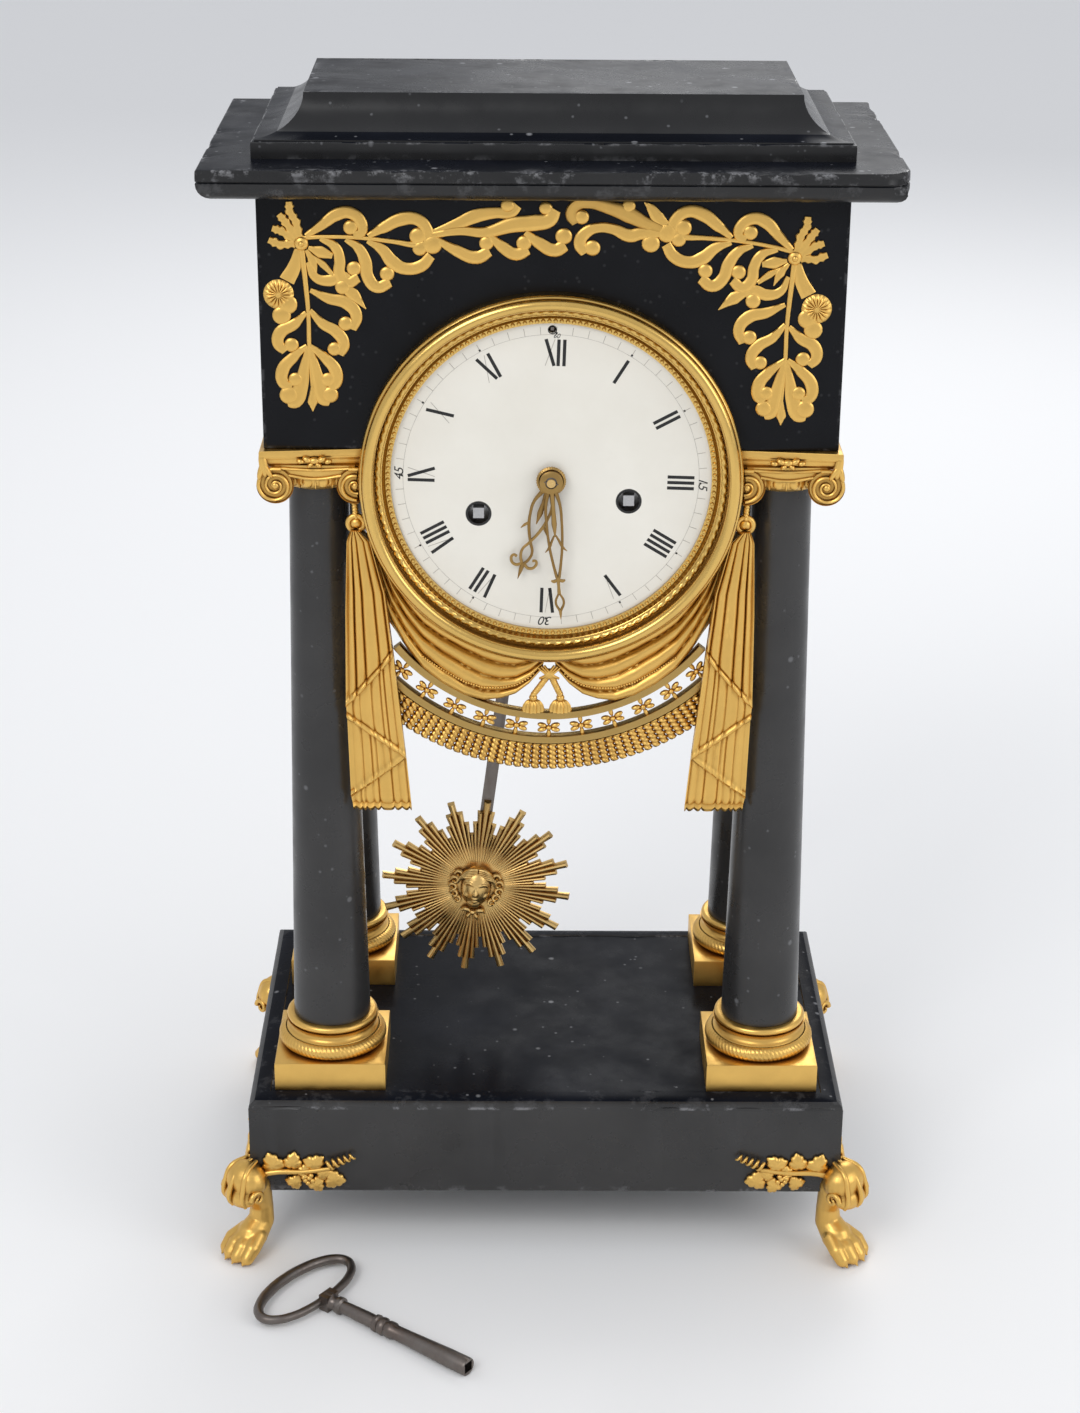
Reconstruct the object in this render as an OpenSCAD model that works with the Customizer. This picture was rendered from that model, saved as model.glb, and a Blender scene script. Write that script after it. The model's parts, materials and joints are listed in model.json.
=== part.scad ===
// Portico clock. A black marble case stands on gilt paw feet: base slab, four columns, a frieze
// block, a cornice and a cap. The drum of the movement hangs in an arch of the frieze, with a gilt
// bezel, an enamel dial and cast drapery in front, and a sunburst pendulum below.
// The front faces -Y, +X is to the right of the dial, +Z is up, and the origin is on the floor.

/* [Base and feet] */
// Height of the paw feet under the base
foot_h = 28.5; // [26:0.5:32]
// Width of the base slab
base_w = 236; // [230:1:250]
// Depth of the base slab
base_d = 150; // [146:1:160]
// Height of the base slab's upright face
base_face_h = 38.5; // [34:0.5:44]
// Height of the rounded edge round the top of the base
base_edge_h = 3; // [2:0.5:4]
// Width of that rounded edge
base_edge_w = 8; // [4:0.5:8]
// Thickness of the leaf sprays on the faces of the base
spray_t = 2.2; // [1.5:0.1:3]

/* [Columns] */
// Distance between the column axes, left to right
column_pitch_x = 172; // [168:1:176]
// Distance between the column axes, front to back
column_pitch_y = 87; // [84:1:90]
// Height of the marble shafts
column_h = 216; // [200:1:230]
// Diameter of a shaft at its foot
column_foot_d = 30.6; // [28:0.2:32]
// Diameter of a shaft at its neck
column_neck_d = 22; // [20:0.2:24]
// Width of the square plinth under a column
plinth_w = 44; // [40:0.5:46]
// Height of that plinth
plinth_h = 11.5; // [9:0.5:14]
// Height of the turned rings between plinth and shaft
rings_h = 14; // [12:0.5:16]
// Height of a capital
capital_h = 23.5; // [22:0.5:26]
// Width of a capital's abacus
abacus_w = 40; // [36:0.5:42]
// Distance between the centres of a capital's volutes
volute_pitch = 29.2; // [27:0.2:31]
// Radius of a volute
volute_r = 6.8; // [6:0.1:7.2]
// Diameter of the iron tie rods inside the columns
rod_d = 5; // [4:0.5:6]

/* [Frieze, cornice and cap] */
// Width of the frieze block
frieze_w = 209; // [204:1:216]
// Height of the frieze block
frieze_h = 93.5; // [90:0.5:100]
// Distance of the frieze's front face from the middle of the clock
frieze_front = 59.5; // [58:0.5:62]
// Distance of the frieze's back face from the middle of the clock
frieze_back = 58; // [56:0.5:60]
// Overhang of the cornice at the front
cornice_front = 16; // [12:0.5:20]
// Overhang of the cornice at the sides
cornice_side = 19; // [14:0.5:22]
// Height of the cornice's upright fascia
fascia_h = 4.7; // [3.5:0.1:6]
// Height of the rounded moulding under the fascia
ovolo_h = 6.3; // [5:0.1:8]
// Width of the cap block at its foot
cap_w = 212; // [206:1:216]
// Depth of the cap block at its foot
cap_d = 104.8; // [100:0.2:106]
// Distance of the cap's front edge from the middle of the clock
cap_front = 55.4; // [52:0.2:58]
// Height of the cap's upright edge
cap_edge_h = 5.8; // [4:0.2:8]
// Height of the hollow slope above that edge
cap_slope_h = 14.3; // [11:0.1:17]
// Width of that slope
cap_slope_w = 17.6; // [14:0.2:20]

/* [Dial and bezel] */
// Drop of the dial's centre below the underside of the frieze
dial_drop = 11; // [8:0.5:14]
// Radius of the opening in the bezel
bezel_open_r = 58.5; // [57:0.1:59]
// Outer radius of the bezel
bezel_r = 70; // [68:0.2:72]
// Height of the bezel in front of the frieze
bezel_h = 9; // [8:0.2:11]
// Outer radius of the drum
drum_r = 61.5; // [61:0.1:62]
// Wall of the drum
drum_wall = 1; // [0.8:0.1:1.2]
// Thickness of the enamel dial
dial_t = 1.5; // [1.2:0.1:2]
// Length of the minute hand from its centre
minute_hand_l = 52.5; // [48:0.5:55]
// Length of the hour hand from its centre
hour_hand_l = 39.5; // [34:0.5:44]
// Thickness of the hands
hand_t = 0.8; // [0.6:0.1:1]
// Radius of a winding hole in the dial
winding_hole_r = 4.6; // [4.2:0.1:5]
// Width of a winding square
winding_square = 4; // [3.4:0.1:4.4]

/* [Movement] */
// Radius of the movement's plates
plate_r = 48; // [47:0.5:52]
// Thickness of the movement's plates
plate_t = 2.2; // [1.8:0.1:2.6]
// Clear distance between the plates
plate_gap = 33.8; // [33:0.1:36]
// Distance of the dial's back from the front plate
motion_space = 7.6; // [7.4:0.1:9]
// Radius of the pivots at the ends of the arbors
pivot_r = 0.4; // [0.3:0.05:0.45]
// Radius of the spring barrels
barrel_r = 15.8; // [15:0.1:16]
// Height of the spring barrels
barrel_h = 20; // [16:0.5:20]
// Radius of the bell's mouth
bell_r = 37; // [33:0.5:38]
// Wall of the bell
bell_wall = 2; // [1.5:0.1:3]

/* [Pendulum and key] */
// Lean of the resting pendulum to the left, in degrees
pendulum_lean = 7.3; // [0:0.1:7.5]
// Length from the pivot to the middle of the bob
pendulum_l = 226.5; // [215:0.5:232]
// Width of the flat rod
pendulum_rod_w = 5; // [4:0.2:6]
// Thickness of the flat rod
pendulum_rod_t = 1.4; // [1:0.1:2]
// Radius of the sunburst
bob_r = 39; // [34:0.5:40]
// Length of the winding key's shaft
key_shaft_l = 70; // [50:1:80]
// Radius of the winding key's shaft
key_shaft_r = 3.6; // [3.4:0.1:4.2]

/* [Hidden] */
$fn = 48;
// Clearances: a running fit, a loose fit and a gap between pieces that pass each other
run = 0.05;
fit = 0.2;
pass = 0.4;

MARBLE = [0.07, 0.07, 0.08];
GILT = [0.80, 0.60, 0.22];
BRASS = [0.78, 0.65, 0.32];
STEEL = [0.35, 0.34, 0.33];
ENAMEL = [0.95, 0.93, 0.88];
BLACKED = [0.10, 0.10, 0.10];

// Levels of the case
base_top = foot_h + base_face_h + base_edge_h;
shaft_z = base_top + plinth_h + rings_h;
capital_z = shaft_z + column_h;
frieze_z = capital_z + capital_h;
cornice_z = frieze_z + frieze_h;
cap_z = cornice_z + ovolo_h + fascia_h;
dial_z = frieze_z - dial_drop;

// Back ring of the drum
ring_r = drum_r + 2.5;

// Tie rods and their nuts
nut_h = 4.5;
nut_r = rod_d;
nut_recess = nut_h + 1.5;
rod_anchor = 25;
rod_hole_r = rod_d / 2 + fit;

// Levels of the movement along its own axis, which points to the front
dial_f = frieze_front - fit;
front_plate_f = dial_f - dial_t - motion_space - plate_t;
back_plate_f = front_plate_f - plate_gap - plate_t;
wheel_f = back_plate_f + plate_t;
barrel_f = front_plate_f - 2 - barrel_h;
motion_f = front_plate_f + plate_t;

// Cast drapery: its levels along the dial's axis, and its parts from the dial's centre
drape_t = 4.2;
drape_f = frieze_front - 2 * drape_t;
tail_f = drape_f + drape_t;
drape_r = drum_r + 8.5;
swag_at = [25.4, 10 - drape_r];
swag_r = 31.8;
swag_folds = [20.5, 25.5, 30];
knot_at = [0, -drape_r - 8.4];
tassel_drop = 9.2;
band_c = [0, 46.8 - drape_r];
band_half = 41;
band_r = [73, 83];
rib_w = 3.4;

// Scroll mounts of the frieze
scroll_t = 1.4;
scroll_line = 1.7;
scroll_r = 5.6;
scroll_step = 7.4;
knot_drop = 20.5;

// Wheel teeth: counts and modules
barrel_teeth = 84;
barrel_module = 0.4;
first_pinion = 12;
second_wheel = 70;
second_module = 0.36;
center_pinion = 10;
center_teeth = 80;
train_module = 0.3;
third_pinion = 8;
third_teeth = 76;
escape_pinion = 6;
escape_teeth = 30;
escape_r = 9;
escape_c = 16.97;
anchor_c = 12.5;
count_teeth = 60;
pin_pinion = 8;
pin_teeth = 56;
fly_pinion = 6;
cannon_teeth = 15;
minute_teeth = 45;
minute_pinion = 12;
hour_teeth = 48;
motion_module = 0.5;

// Places of the arbors, from the dial's centre
going_at = [28.5, -8.5];
strike_at = [-26.5, -13.5];
first_at = meet([0, 0], gear_c(second_wheel, center_pinion, second_module),
                going_at, gear_c(barrel_teeth, first_pinion, barrel_module), 1);
third_at = polar(gear_c(center_teeth, third_pinion, train_module), 136);
escape_at = meet(third_at, gear_c(third_teeth, escape_pinion, train_module),
                 [0, 0], escape_c, -1);
anchor_at = [0, escape_at[1] + anchor_c];
count_at = strike_at + polar(gear_c(barrel_teeth, first_pinion, barrel_module), 95);
pin_at = count_at + polar(gear_c(count_teeth, pin_pinion, second_module), 70);
fly_at = pin_at + polar(gear_c(pin_teeth, fly_pinion, second_module), 60);
minute_at = polar(gear_c(cannon_teeth, minute_teeth, motion_module), 60);
hammer_at = [-38, 24];
regulator_at = [0, drum_r - drum_wall - 4.5];
pillar_angles = [55, 125, 250, 292];
dial_feet_angles = [90, 210, 330];
dial_feet_r = 45;
dial_foot_r = 1.4;

// Turn of each wheel that brings its teeth into mesh with the wheel that drives it
first_turn = mesh(going_at, first_at, 0, barrel_teeth, first_pinion);
center_turn = mesh(first_at, [0, 0], first_turn, second_wheel, center_pinion);
third_turn = mesh([0, 0], third_at, center_turn, center_teeth, third_pinion);
escape_turn = mesh(third_at, escape_at, third_turn, third_teeth, escape_pinion);
count_turn = mesh(strike_at, count_at, 0, barrel_teeth, first_pinion);
pin_turn = mesh(count_at, pin_at, count_turn, count_teeth, pin_pinion);
fly_turn = mesh(pin_at, fly_at, pin_turn, pin_teeth, fly_pinion);
minute_turn = mesh([0, 0], minute_at, 0, cannon_teeth, minute_teeth);
hour_turn = mesh(minute_at, [0, 0], minute_turn, minute_pinion, hour_teeth);

function to_and_fro(i) = i % 2 == 0 ? -1 : 1;
function mirrored(half, tip) = concat(half, [[0, tip]],
    [for (i = [len(half) - 1:-1:0]) [-half[i][0], half[i][1]]]);
function polar(r, a) = [r * cos(a), r * sin(a)];
function gear_c(a, b, m) = (a + b) * m / 2;
function angle_to(p, q) = atan2(q[1] - p[1], q[0] - p[0]);
// The point at distance rp from p and rq from q, to the right (1) or left (-1) of the way p to q
function meet(p, rp, q, rq, side) =
    let (d = norm(q - p), a = (rp * rp - rq * rq + d * d) / (2 * d), h = sqrt(rp * rp - a * a),
         u = (q - p) / d)
    p + a * u + side * h * [u[1], -u[0]];
// Turn of wheel b at q, so that its gap meets the tooth of wheel a at p
function mesh(p, q, turn, a, b) =
    let (way = angle_to(p, q)) way + 180 - (turn - way) * a / b + 180 / b;
function arc(c, r, a0, a1, n = 12) = [for (i = [0:n]) c + polar(r, a0 + (a1 - a0) * i / n)];
function gear_points(z, m) =
    let (tip = m * (z + 1.5) / 2, root = m * (z - 2.4) / 2, step = 360 / z)
    [for (i = [0:z - 1], k = [0:3])
        polar(k == 0 || k == 3 ? root : tip, step * (i + [-0.21, -0.09, 0.09, 0.21][k]))];

// A wheel or pinion standing on z = 0
module gear(z, m, t) linear_extrude(t) polygon(gear_points(z, m));

// A wheel with its rim, hub and crossings left open
module crossed_wheel(z, m, t, spokes = 4) {
    rim = m * (z - 2.4) / 2 - 1.4;
    difference() {
        gear(z, m, t);
        if (rim > 5)
            for (i = [0:spokes - 1])
                rotate(i * 360 / spokes)
                    linear_extrude(3 * t, center = true)
                        polygon(concat(arc([0, 0], 3, 18, 72, 4), arc([0, 0], rim, 82, 8, 8)));
    }
}

// Puts a shape at the dial's centre, with its own z to the front
module dial_frame(at = [0, 0], f = 0) translate([at[0], -f, dial_z + at[1]]) rotate([90, 0, 0]) children();

// Puts a shape made for the front right corner at any corner
module corner(sx, sy) mirror([sx < 0 ? 1 : 0, 0, 0]) mirror([0, sy > 0 ? 1 : 0, 0]) children();

// An arbor between the plates, with a thin pivot through both
module arbor(r) {
    translate([0, 0, wheel_f + pass]) cylinder(h = plate_gap - 2 * pass, r = r);
    translate([0, 0, back_plate_f]) cylinder(h = plate_gap + 2 * plate_t, r = pivot_r);
}

// A slab whose edge follows a list of [inset, height]; the back edge can stay plain
module moulded_slab(edge, w, front, back, plain_back) {
    n = len(edge);
    intersection() {
        rotate([90, 0, 0])
            linear_extrude(2 * (front + back), center = true)
                polygon(concat([for (e = edge) [w / 2 - e[0], e[1]]],
                               [for (i = [n - 1:-1:0]) [edge[i][0] - w / 2, edge[i][1]]]));
        rotate([90, 0, 90])
            linear_extrude(2 * w, center = true)
                polygon(concat([for (e = edge) [back - (plain_back ? 0 : e[0]), e[1]]],
                               [for (i = [n - 1:-1:0]) [edge[i][0] - front, edge[i][1]]]));
    }
}

// A tapering limb between two points with round ends
module limb(p, q, rp, rq) {
    v = q - p;
    translate(p) sphere(1.03 * rp);
    translate(q) sphere(1.03 * rq);
    translate(p)
        rotate([0, acos(v[2] / norm(v)), atan2(v[1], v[0])])
            cylinder(h = norm(v), r1 = rp, r2 = rq);
}

// Leaf spray that lies on a face of the base, x along the face and z out of it
module spray() {
    leaves = [[12, 12, 5.5], [18, 15, 5], [24, 11, 5], [29, 15, 4.5], [34, 17.5, 3], [38, 20, 2.2],
              [20, 6.5, 4], [30, 8, 4.5], [26, 4.5, 3]];
    for (leaf = leaves)
        translate([leaf[0], leaf[1], 0]) cylinder(h = spray_t, r = leaf[2]);
}

// Knee, shank and paw, with x pointing out along the diagonal
module paw_leg() {
    limb([1, 0, foot_h + 9], [0, 0, foot_h - 4], 8.5, 7.5);
    limb([-3, 0, foot_h - 5], [-6, 0, 13], 6, 4.6);
    limb([-6, 0, 12], [1, 0, 6], 4.8, 6.2);
    limb([1, 0, 5.5], [9, 0, 4.6], 6.4, 5.6);
    for (i = [-1.5:1.5])
        translate([13.5 - 0.9 * i * i, 3.6 * i, 3.1]) sphere(3.2);
}

// Gilt paw foot, seated round a corner of the base and flat on the floor
module paw_foot() {
    color(GILT)
        difference() {
            union() {
                translate([base_w / 2, -base_d / 2, 0]) rotate(-45) paw_leg();
                translate([base_w / 2, -base_d / 2, foot_h]) rotate([90, 0, 0]) mirror([1, 0, 0]) spray();
                translate([base_w / 2, -base_d / 2, foot_h]) rotate([90, 0, 90]) spray();
            }
            translate([-base_w / 2, -base_d / 2, foot_h]) cube([base_w, base_d, base_face_h]);
            translate([0, 0, -foot_h]) cube([2 * base_w, 2 * base_d, 2 * foot_h], center = true);
        }
}

// One shape at each of the four column axes
module at_columns() {
    for (sx = [-1, 1], sy = [-1, 1])
        translate([sx * column_pitch_x / 2, sy * column_pitch_y / 2, 0]) children();
}

function base_edge() = concat([[0, 0]],
    [for (t = [0:15:90]) [base_edge_w * (1 - cos(t)), base_face_h + base_edge_h * sin(t)]]);

// Marble base slab, bored for the tie rods and recessed below for their nuts
module base_slab() {
    color(MARBLE)
        difference() {
            translate([0, 0, foot_h]) moulded_slab(base_edge(), base_w, base_d / 2, base_d / 2, false);
            at_columns() {
                translate([0, 0, foot_h - 1]) cylinder(h = base_top, r = rod_hole_r);
                translate([0, 0, foot_h - 1]) cylinder(h = nut_recess + 1, r = nut_r + 1);
            }
        }
}

// Gilt column base: square plinth, torus, hollow and upper ring
module column_base() {
    r = column_foot_d / 2;
    h = rings_h;
    profile = concat([[0, 0], [r + 4, 0]],
                     arc([r + 3.2, 0.23 * h], 0.22 * h, -80, 80),
                     [[r + 1.8, 0.5 * h], [r + 1.1, 0.58 * h], [r + 1.1, 0.66 * h], [r + 1.8, 0.72 * h]],
                     arc([r + 1.5, 0.83 * h], 0.1 * h, -80, 80, 8),
                     [[r + 0.6, 0.95 * h], [r + 0.6, h], [0, h]]);
    difference() {
        union() {
            translate([-plinth_w / 2, -plinth_w / 2, 0]) cube([plinth_w, plinth_w, plinth_h]);
            translate([0, 0, plinth_h]) rotate_extrude() polygon(profile);
        }
        translate([0, 0, -1]) cylinder(h = plinth_h + rings_h + 2, r = rod_hole_r);
    }
}

module column_bases() color(GILT) translate([0, 0, base_top]) at_columns() column_base();

// Tapered marble shaft with a bore for its tie rod
module column() {
    color(MARBLE)
        translate([column_pitch_x / 2, -column_pitch_y / 2, shaft_z])
            difference() {
                cylinder(h = column_h, d1 = column_foot_d, d2 = column_neck_d);
                translate([0, 0, -1]) cylinder(h = column_h + 2, r = rod_hole_r);
            }
}

// Gilt Ionic capital: neck ring, echinus, four volutes on two bolsters, and an abacus.
// Each leaves room for the drum, and the front ones are notched for the bezel.
module capital(notched) {
    abacus_h = 4;
    neck_r = column_neck_d / 2;
    swell_r = neck_r + 4;
    half_d = 0.45 * abacus_w;
    scroll_z = capital_h - 6.7 - volute_r;
    color(GILT)
        difference() {
            translate([column_pitch_x / 2, -column_pitch_y / 2, capital_z])
                difference() {
                    union() {
                        rotate_extrude()
                            polygon(concat([[0, 0]], arc([neck_r - 0.4, 1.4], 1.4, -90, 90, 8),
                                           [[neck_r - 0.4, scroll_z - volute_r + 1.5],
                                            [swell_r, scroll_z + 2], [swell_r, scroll_z + volute_r],
                                            [0, scroll_z + volute_r]]));
                        for (s = [-1, 1])
                            translate([s * volute_pitch / 2, 0, scroll_z])
                                rotate([90, 0, 0])
                                    rotate_extrude()
                                        polygon([[0, -half_d], [volute_r, -half_d], [volute_r, 2 - half_d],
                                                 [0.75 * volute_r, 0], [volute_r, half_d - 2],
                                                 [volute_r, half_d], [0, half_d]]);
                        translate([-volute_pitch / 2, -half_d + 0.6, scroll_z + 1.5])
                            cube([volute_pitch, 2 * half_d - 1.2, volute_r - 1.5]);
                        translate([1.5 - abacus_w / 2, 1.5 - abacus_w / 2, scroll_z + volute_r - 0.5])
                            cube([abacus_w - 3, abacus_w - 3, 3.5]);
                        translate([-abacus_w / 2, -abacus_w / 2, capital_h - abacus_h])
                            cube([abacus_w, abacus_w, abacus_h]);
                    }
                    translate([0, 0, -1]) cylinder(h = capital_h + 2, r = rod_hole_r);
                }
            drum_room();
            ring_room();
            if (notched)
                bezel_room();
        }
}

// Iron rods that tie base, columns and frieze together
module tie_rods() {
    color(STEEL)
        at_columns()
            translate([0, 0, foot_h + 1]) cylinder(h = frieze_z + rod_anchor - foot_h - 1, d = rod_d);
}

// Nuts that draw the rods tight in the recesses under the base
module tie_rod_nuts() {
    color(STEEL)
        at_columns()
            translate([0, 0, foot_h + nut_recess - nut_h])
                difference() {
                    cylinder(h = nut_h, r = nut_r, $fn = 6);
                    translate([0, 0, -1]) cylinder(h = nut_h + 2, r = rod_d / 2 + run);
                }
}

// Marble frieze with the arch that the drum hangs in
module frieze_block() {
    color(MARBLE)
        difference() {
            translate([-frieze_w / 2, -frieze_front, frieze_z])
                cube([frieze_w, frieze_front + frieze_back, frieze_h]);
            drum_room();
            at_columns()
                translate([0, 0, frieze_z - 1]) cylinder(h = rod_anchor + 2, r = rod_hole_r);
        }
}

function cornice_edge() = concat(
    [for (t = [0:15:90]) [ovolo_h * (1 - sin(t)), ovolo_h * (1 - cos(t))]],
    [[1.2, ovolo_h], [1.2, ovolo_h + 0.7], [0, ovolo_h + 0.7], [0, ovolo_h + fascia_h]]);

// Marble cornice, moulded at the front and sides and flush with the frieze behind
module cornice_slab() {
    color(MARBLE)
        translate([0, 0, cornice_z])
            moulded_slab(cornice_edge(), frieze_w + 2 * cornice_side, frieze_front + cornice_front,
                         frieze_back, true);
}

function cap_edge(step = 1.2, lift = 0.6) = concat([[0, 0], [0, cap_edge_h], [step, cap_edge_h]],
    [for (a = [90:-10:0]) [step + (cap_slope_w - step) * cos(a),
                           cap_edge_h + lift + (cap_slope_h - lift) * (1 - sin(a))]]);

// Marble cap with a hollow slope on all four sides
module cap_block() {
    color(MARBLE)
        translate([0, 0, cap_z]) moulded_slab(cap_edge(), cap_w, cap_front, cap_d - cap_front, false);
}

// One open scroll of a mount
module scroll_ring(p, r) {
    translate(p)
        difference() {
            circle(r);
            circle(r - scroll_line);
        }
}

// A run of scrolls, each point [x, y, radius]
module scroll_run(points) {
    for (p = points)
        scroll_ring([p[0], p[1]], p[2]);
}

// Corner spray of scrolls for the right half of the frieze, measured from the dial's centre
module scroll_mount() {
    knot = [frieze_w / 2 - 18.5, frieze_h + dial_drop - knot_drop];
    across = [for (i = [0:9])
        [knot[0] - 5.5 - 8.2 * i, knot[1] + 3.5 + 3.6 * to_and_fro(i) + 0.3 * i, 6.2]];
    down = [for (i = [0:7]) [knot[0] + 1 + 3.2 * to_and_fro(i), knot[1] - 6 - scroll_step * i, scroll_r]];
    color(GILT)
        dial_frame([0, 0], frieze_front)
            linear_extrude(scroll_t) {
                translate(knot) circle(4.5);
                scroll_run(across);
                scroll_run(down);
                translate([knot[0] + 2, knot[1] - 63]) circle(4);
            }
}

// Upright sprays of scrolls on the two side faces of the frieze
module side_mounts() {
    down = [for (i = [0:8]) [3.2 * to_and_fro(i), -scroll_step * i, scroll_r]];
    color(GILT)
        for (s = [0, 1])
            mirror([s, 0, 0])
                translate([frieze_w / 2, 0, cornice_z - knot_drop])
                    rotate([90, 0, 90])
                        linear_extrude(scroll_t) {
                            circle(4.5);
                            scroll_run(down);
                        }
}

// Room for the bezel in a piece that reaches forward beside it
module bezel_room() dial_frame([0, 0], frieze_front - fit) cylinder(h = 2 * bezel_h, r = bezel_r + fit);

// Room for the drum in the pieces round it
module drum_room() dial_frame([0, 0], -2 * frieze_back)
    cylinder(h = 2 * (frieze_front + 2 * frieze_back), r = drum_r + fit);

// Room for the back ring in a piece that reaches back beside it
module ring_room() dial_frame([0, 0], -2 * frieze_back) cylinder(h = frieze_back + fit, r = ring_r + fit);

// Pleated tail that falls beside the right column, with stepped hems
module drape_tail() {
    ring = [(column_pitch_x - volute_pitch) / 2 - 1.1, -17.7];
    loop_r = 3.1;
    rope_l = 6.7;
    outer = ring[0] + 4.6;
    neck = [for (d = [[0.3, -2.4], [-2, -2.4], [-3.7, -6.4], [-12.8, -52]]) ring + d];
    hems = [[[outer - 22.7, -134.5], [outer, -134.5]], [[outer - 20.8, -107], [outer, -121.5]],
            [[outer - 20.7, -106.5], [outer, -91.5]], [[outer - 16.3, -71], [outer, -90]]];
    color(GILT)
        difference() {
            dial_frame([0, 0], tail_f) {
                for (i = [0:3])
                    linear_extrude(2.4 + 1.1 * i) polygon(concat(neck, hems[i], [[outer, -24]]));
                intersection() {
                    linear_extrude(8) polygon(concat(neck, hems[0], [[outer, -24]]));
                    for (x = [-15.5:4.6:3.5])
                        translate([ring[0] - 0.8, neck[0][1], 2.6])
                            rotate([90, 0, atan2(x, 114)])
                                cylinder(h = 122, r1 = 0.6, r2 = 1.6);
                }
                translate([ring[0], ring[1], 1.6]) rotate_extrude() translate([loop_r, 0]) circle(0.9);
                translate([ring[0], ring[1], 0]) cylinder(h = 1.6, r = loop_r + 0.3);
                translate([ring[0] + 0.3, ring[1] + 1.6, 1.6])
                    rotate([-90, 0, 0])
                        cylinder(h = rope_l, r = 1.1);
            }
            bezel_room();
            drum_room();
        }
}

// A bell-shaped tassel with a rounded end, hung from the origin along +Z
module tassel() {
    rotate_extrude() polygon([[0, 0], [1.6, 0], [3.6, 4.6], [3.2, 5.6], [1.8, 6.4], [0, 6.8]]);
}

// Two cast festoons under the bezel, tied in the middle by a knot with two tassels
module drape_swag() {
    lug_r = (drum_r + bezel_r) / 2 + 0.45;
    color(GILT)
        dial_frame([0, 0], drape_f) {
            intersection() {
                for (s = [-1, 1])
                    translate([s * swag_at[0], swag_at[1], 0]) {
                        cylinder(h = drape_t - 1.6, r = swag_r);
                        for (r = swag_folds)
                            translate([0, 0, drape_t - 1.9]) rotate_extrude() translate([r, 0]) circle(1.8);
                    }
                difference() {
                    translate(band_c) cylinder(h = 3 * drape_t, r = band_r[0] - rib_w / 2);
                    translate([0, 0, -1]) cylinder(h = 3 * drape_t + 2, r = drum_r + pass);
                }
            }
            difference() {
                for (a = [-112, -68])
                    rotate(a) translate([lug_r, 0, 0]) cylinder(h = frieze_front - drape_f, r = 3);
                translate([0, 0, -1]) cylinder(h = 3 * drape_t + 2, r = drum_r + pass);
            }
            translate([0, knot_at[1], 2]) sphere(4.4);
            for (s = [-1, 1]) {
                limb([s, knot_at[1] - 0.6, 2.4], [4.4 * s, knot_at[1] - tassel_drop, 2.4], 0.9, 0.9);
                translate([4.4 * s, knot_at[1] - tassel_drop, 2.4]) rotate([90, 0, 0]) tassel();
            }
        }
}

// An arc of the pelmet, centred on the lowest point
module pelmet_arc(r, w, t) {
    rotate(-90 - band_half)
        rotate_extrude(angle = 2 * band_half) translate([r - w / 2, 0]) square([w, t]);
}

// Two plain ribs with a row of four-petalled florets between them
module floret_band() {
    mid_r = (band_r[0] + band_r[1]) / 2;
    color(GILT)
        dial_frame(band_c, drape_f) {
            for (r = band_r)
                pelmet_arc(r, rib_w, drape_t);
            for (i = [-5:5])
                rotate(-90 + 8 * i)
                    translate([mid_r, 0, 0.6])
                        linear_extrude(2) {
                            for (s = [-1, 1]) {
                                translate([1.9 * s, 0]) circle(1.6);
                                translate([0, 2.5 * s]) circle(1.6);
                            }
                            circle(1.5);
                        }
        }
}

// Row of twisted cast cords that hangs under the band
module bullion_fringe() {
    cord_r = 1.55;
    cord_l = 11.2;
    top_r = band_r[1] + rib_w / 2;
    color(GILT)
        dial_frame(band_c, drape_f) {
            pelmet_arc(top_r + 0.8, 1.6, drape_t - 1);
            for (i = [-18:18])
                rotate(-90 + 2.24 * i)
                    translate([top_r + 0.6, 0, cord_r + 0.2])
                        rotate([0, 90, 0])
                            cylinder(h = cord_l - 0.6, r = cord_r);
        }
}

pendulum_slot = 2 * (drum_r + anchor_at[1]) * tan(pendulum_lean) + pendulum_rod_w + 6;

// Sheet drum that carries the movement through the arch of the frieze
module drum_case() {
    drum_l = frieze_front + frieze_back;
    color(BLACKED)
        difference() {
            dial_frame([0, 0], -frieze_back)
                difference() {
                    cylinder(h = drum_l, r = drum_r);
                    translate([0, 0, -1]) cylinder(h = drum_l + 2, r = drum_r - drum_wall);
                }
            translate([-pendulum_slot / 2, -6, dial_z - drum_r - 1]) cube([pendulum_slot, 12, drum_r / 2]);
        }
}

// Gilt bezel: beaded inner ring, leaf band, groove and rounded outer moulding
module bezel() {
    r = bezel_open_r;
    w = bezel_r - r;
    groove_h = 3.4;
    profile = concat([[r, 0], [r, 2.4], [r + 1.8, 3], [r + 1.8, 2.4], [r + 0.43 * w, 4.2],
                      [r + 0.43 * w, groove_h], [r + 0.5 * w, groove_h]],
                     [for (a = [180:-15:0]) [bezel_r - 0.25 * w * (1 - cos(a)),
                                             groove_h + (bezel_h - groove_h) * sin(a)]],
                     [[bezel_r, 0]]);
    color(GILT) dial_frame([0, 0], frieze_front) rotate_extrude() polygon(profile);
}

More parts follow.
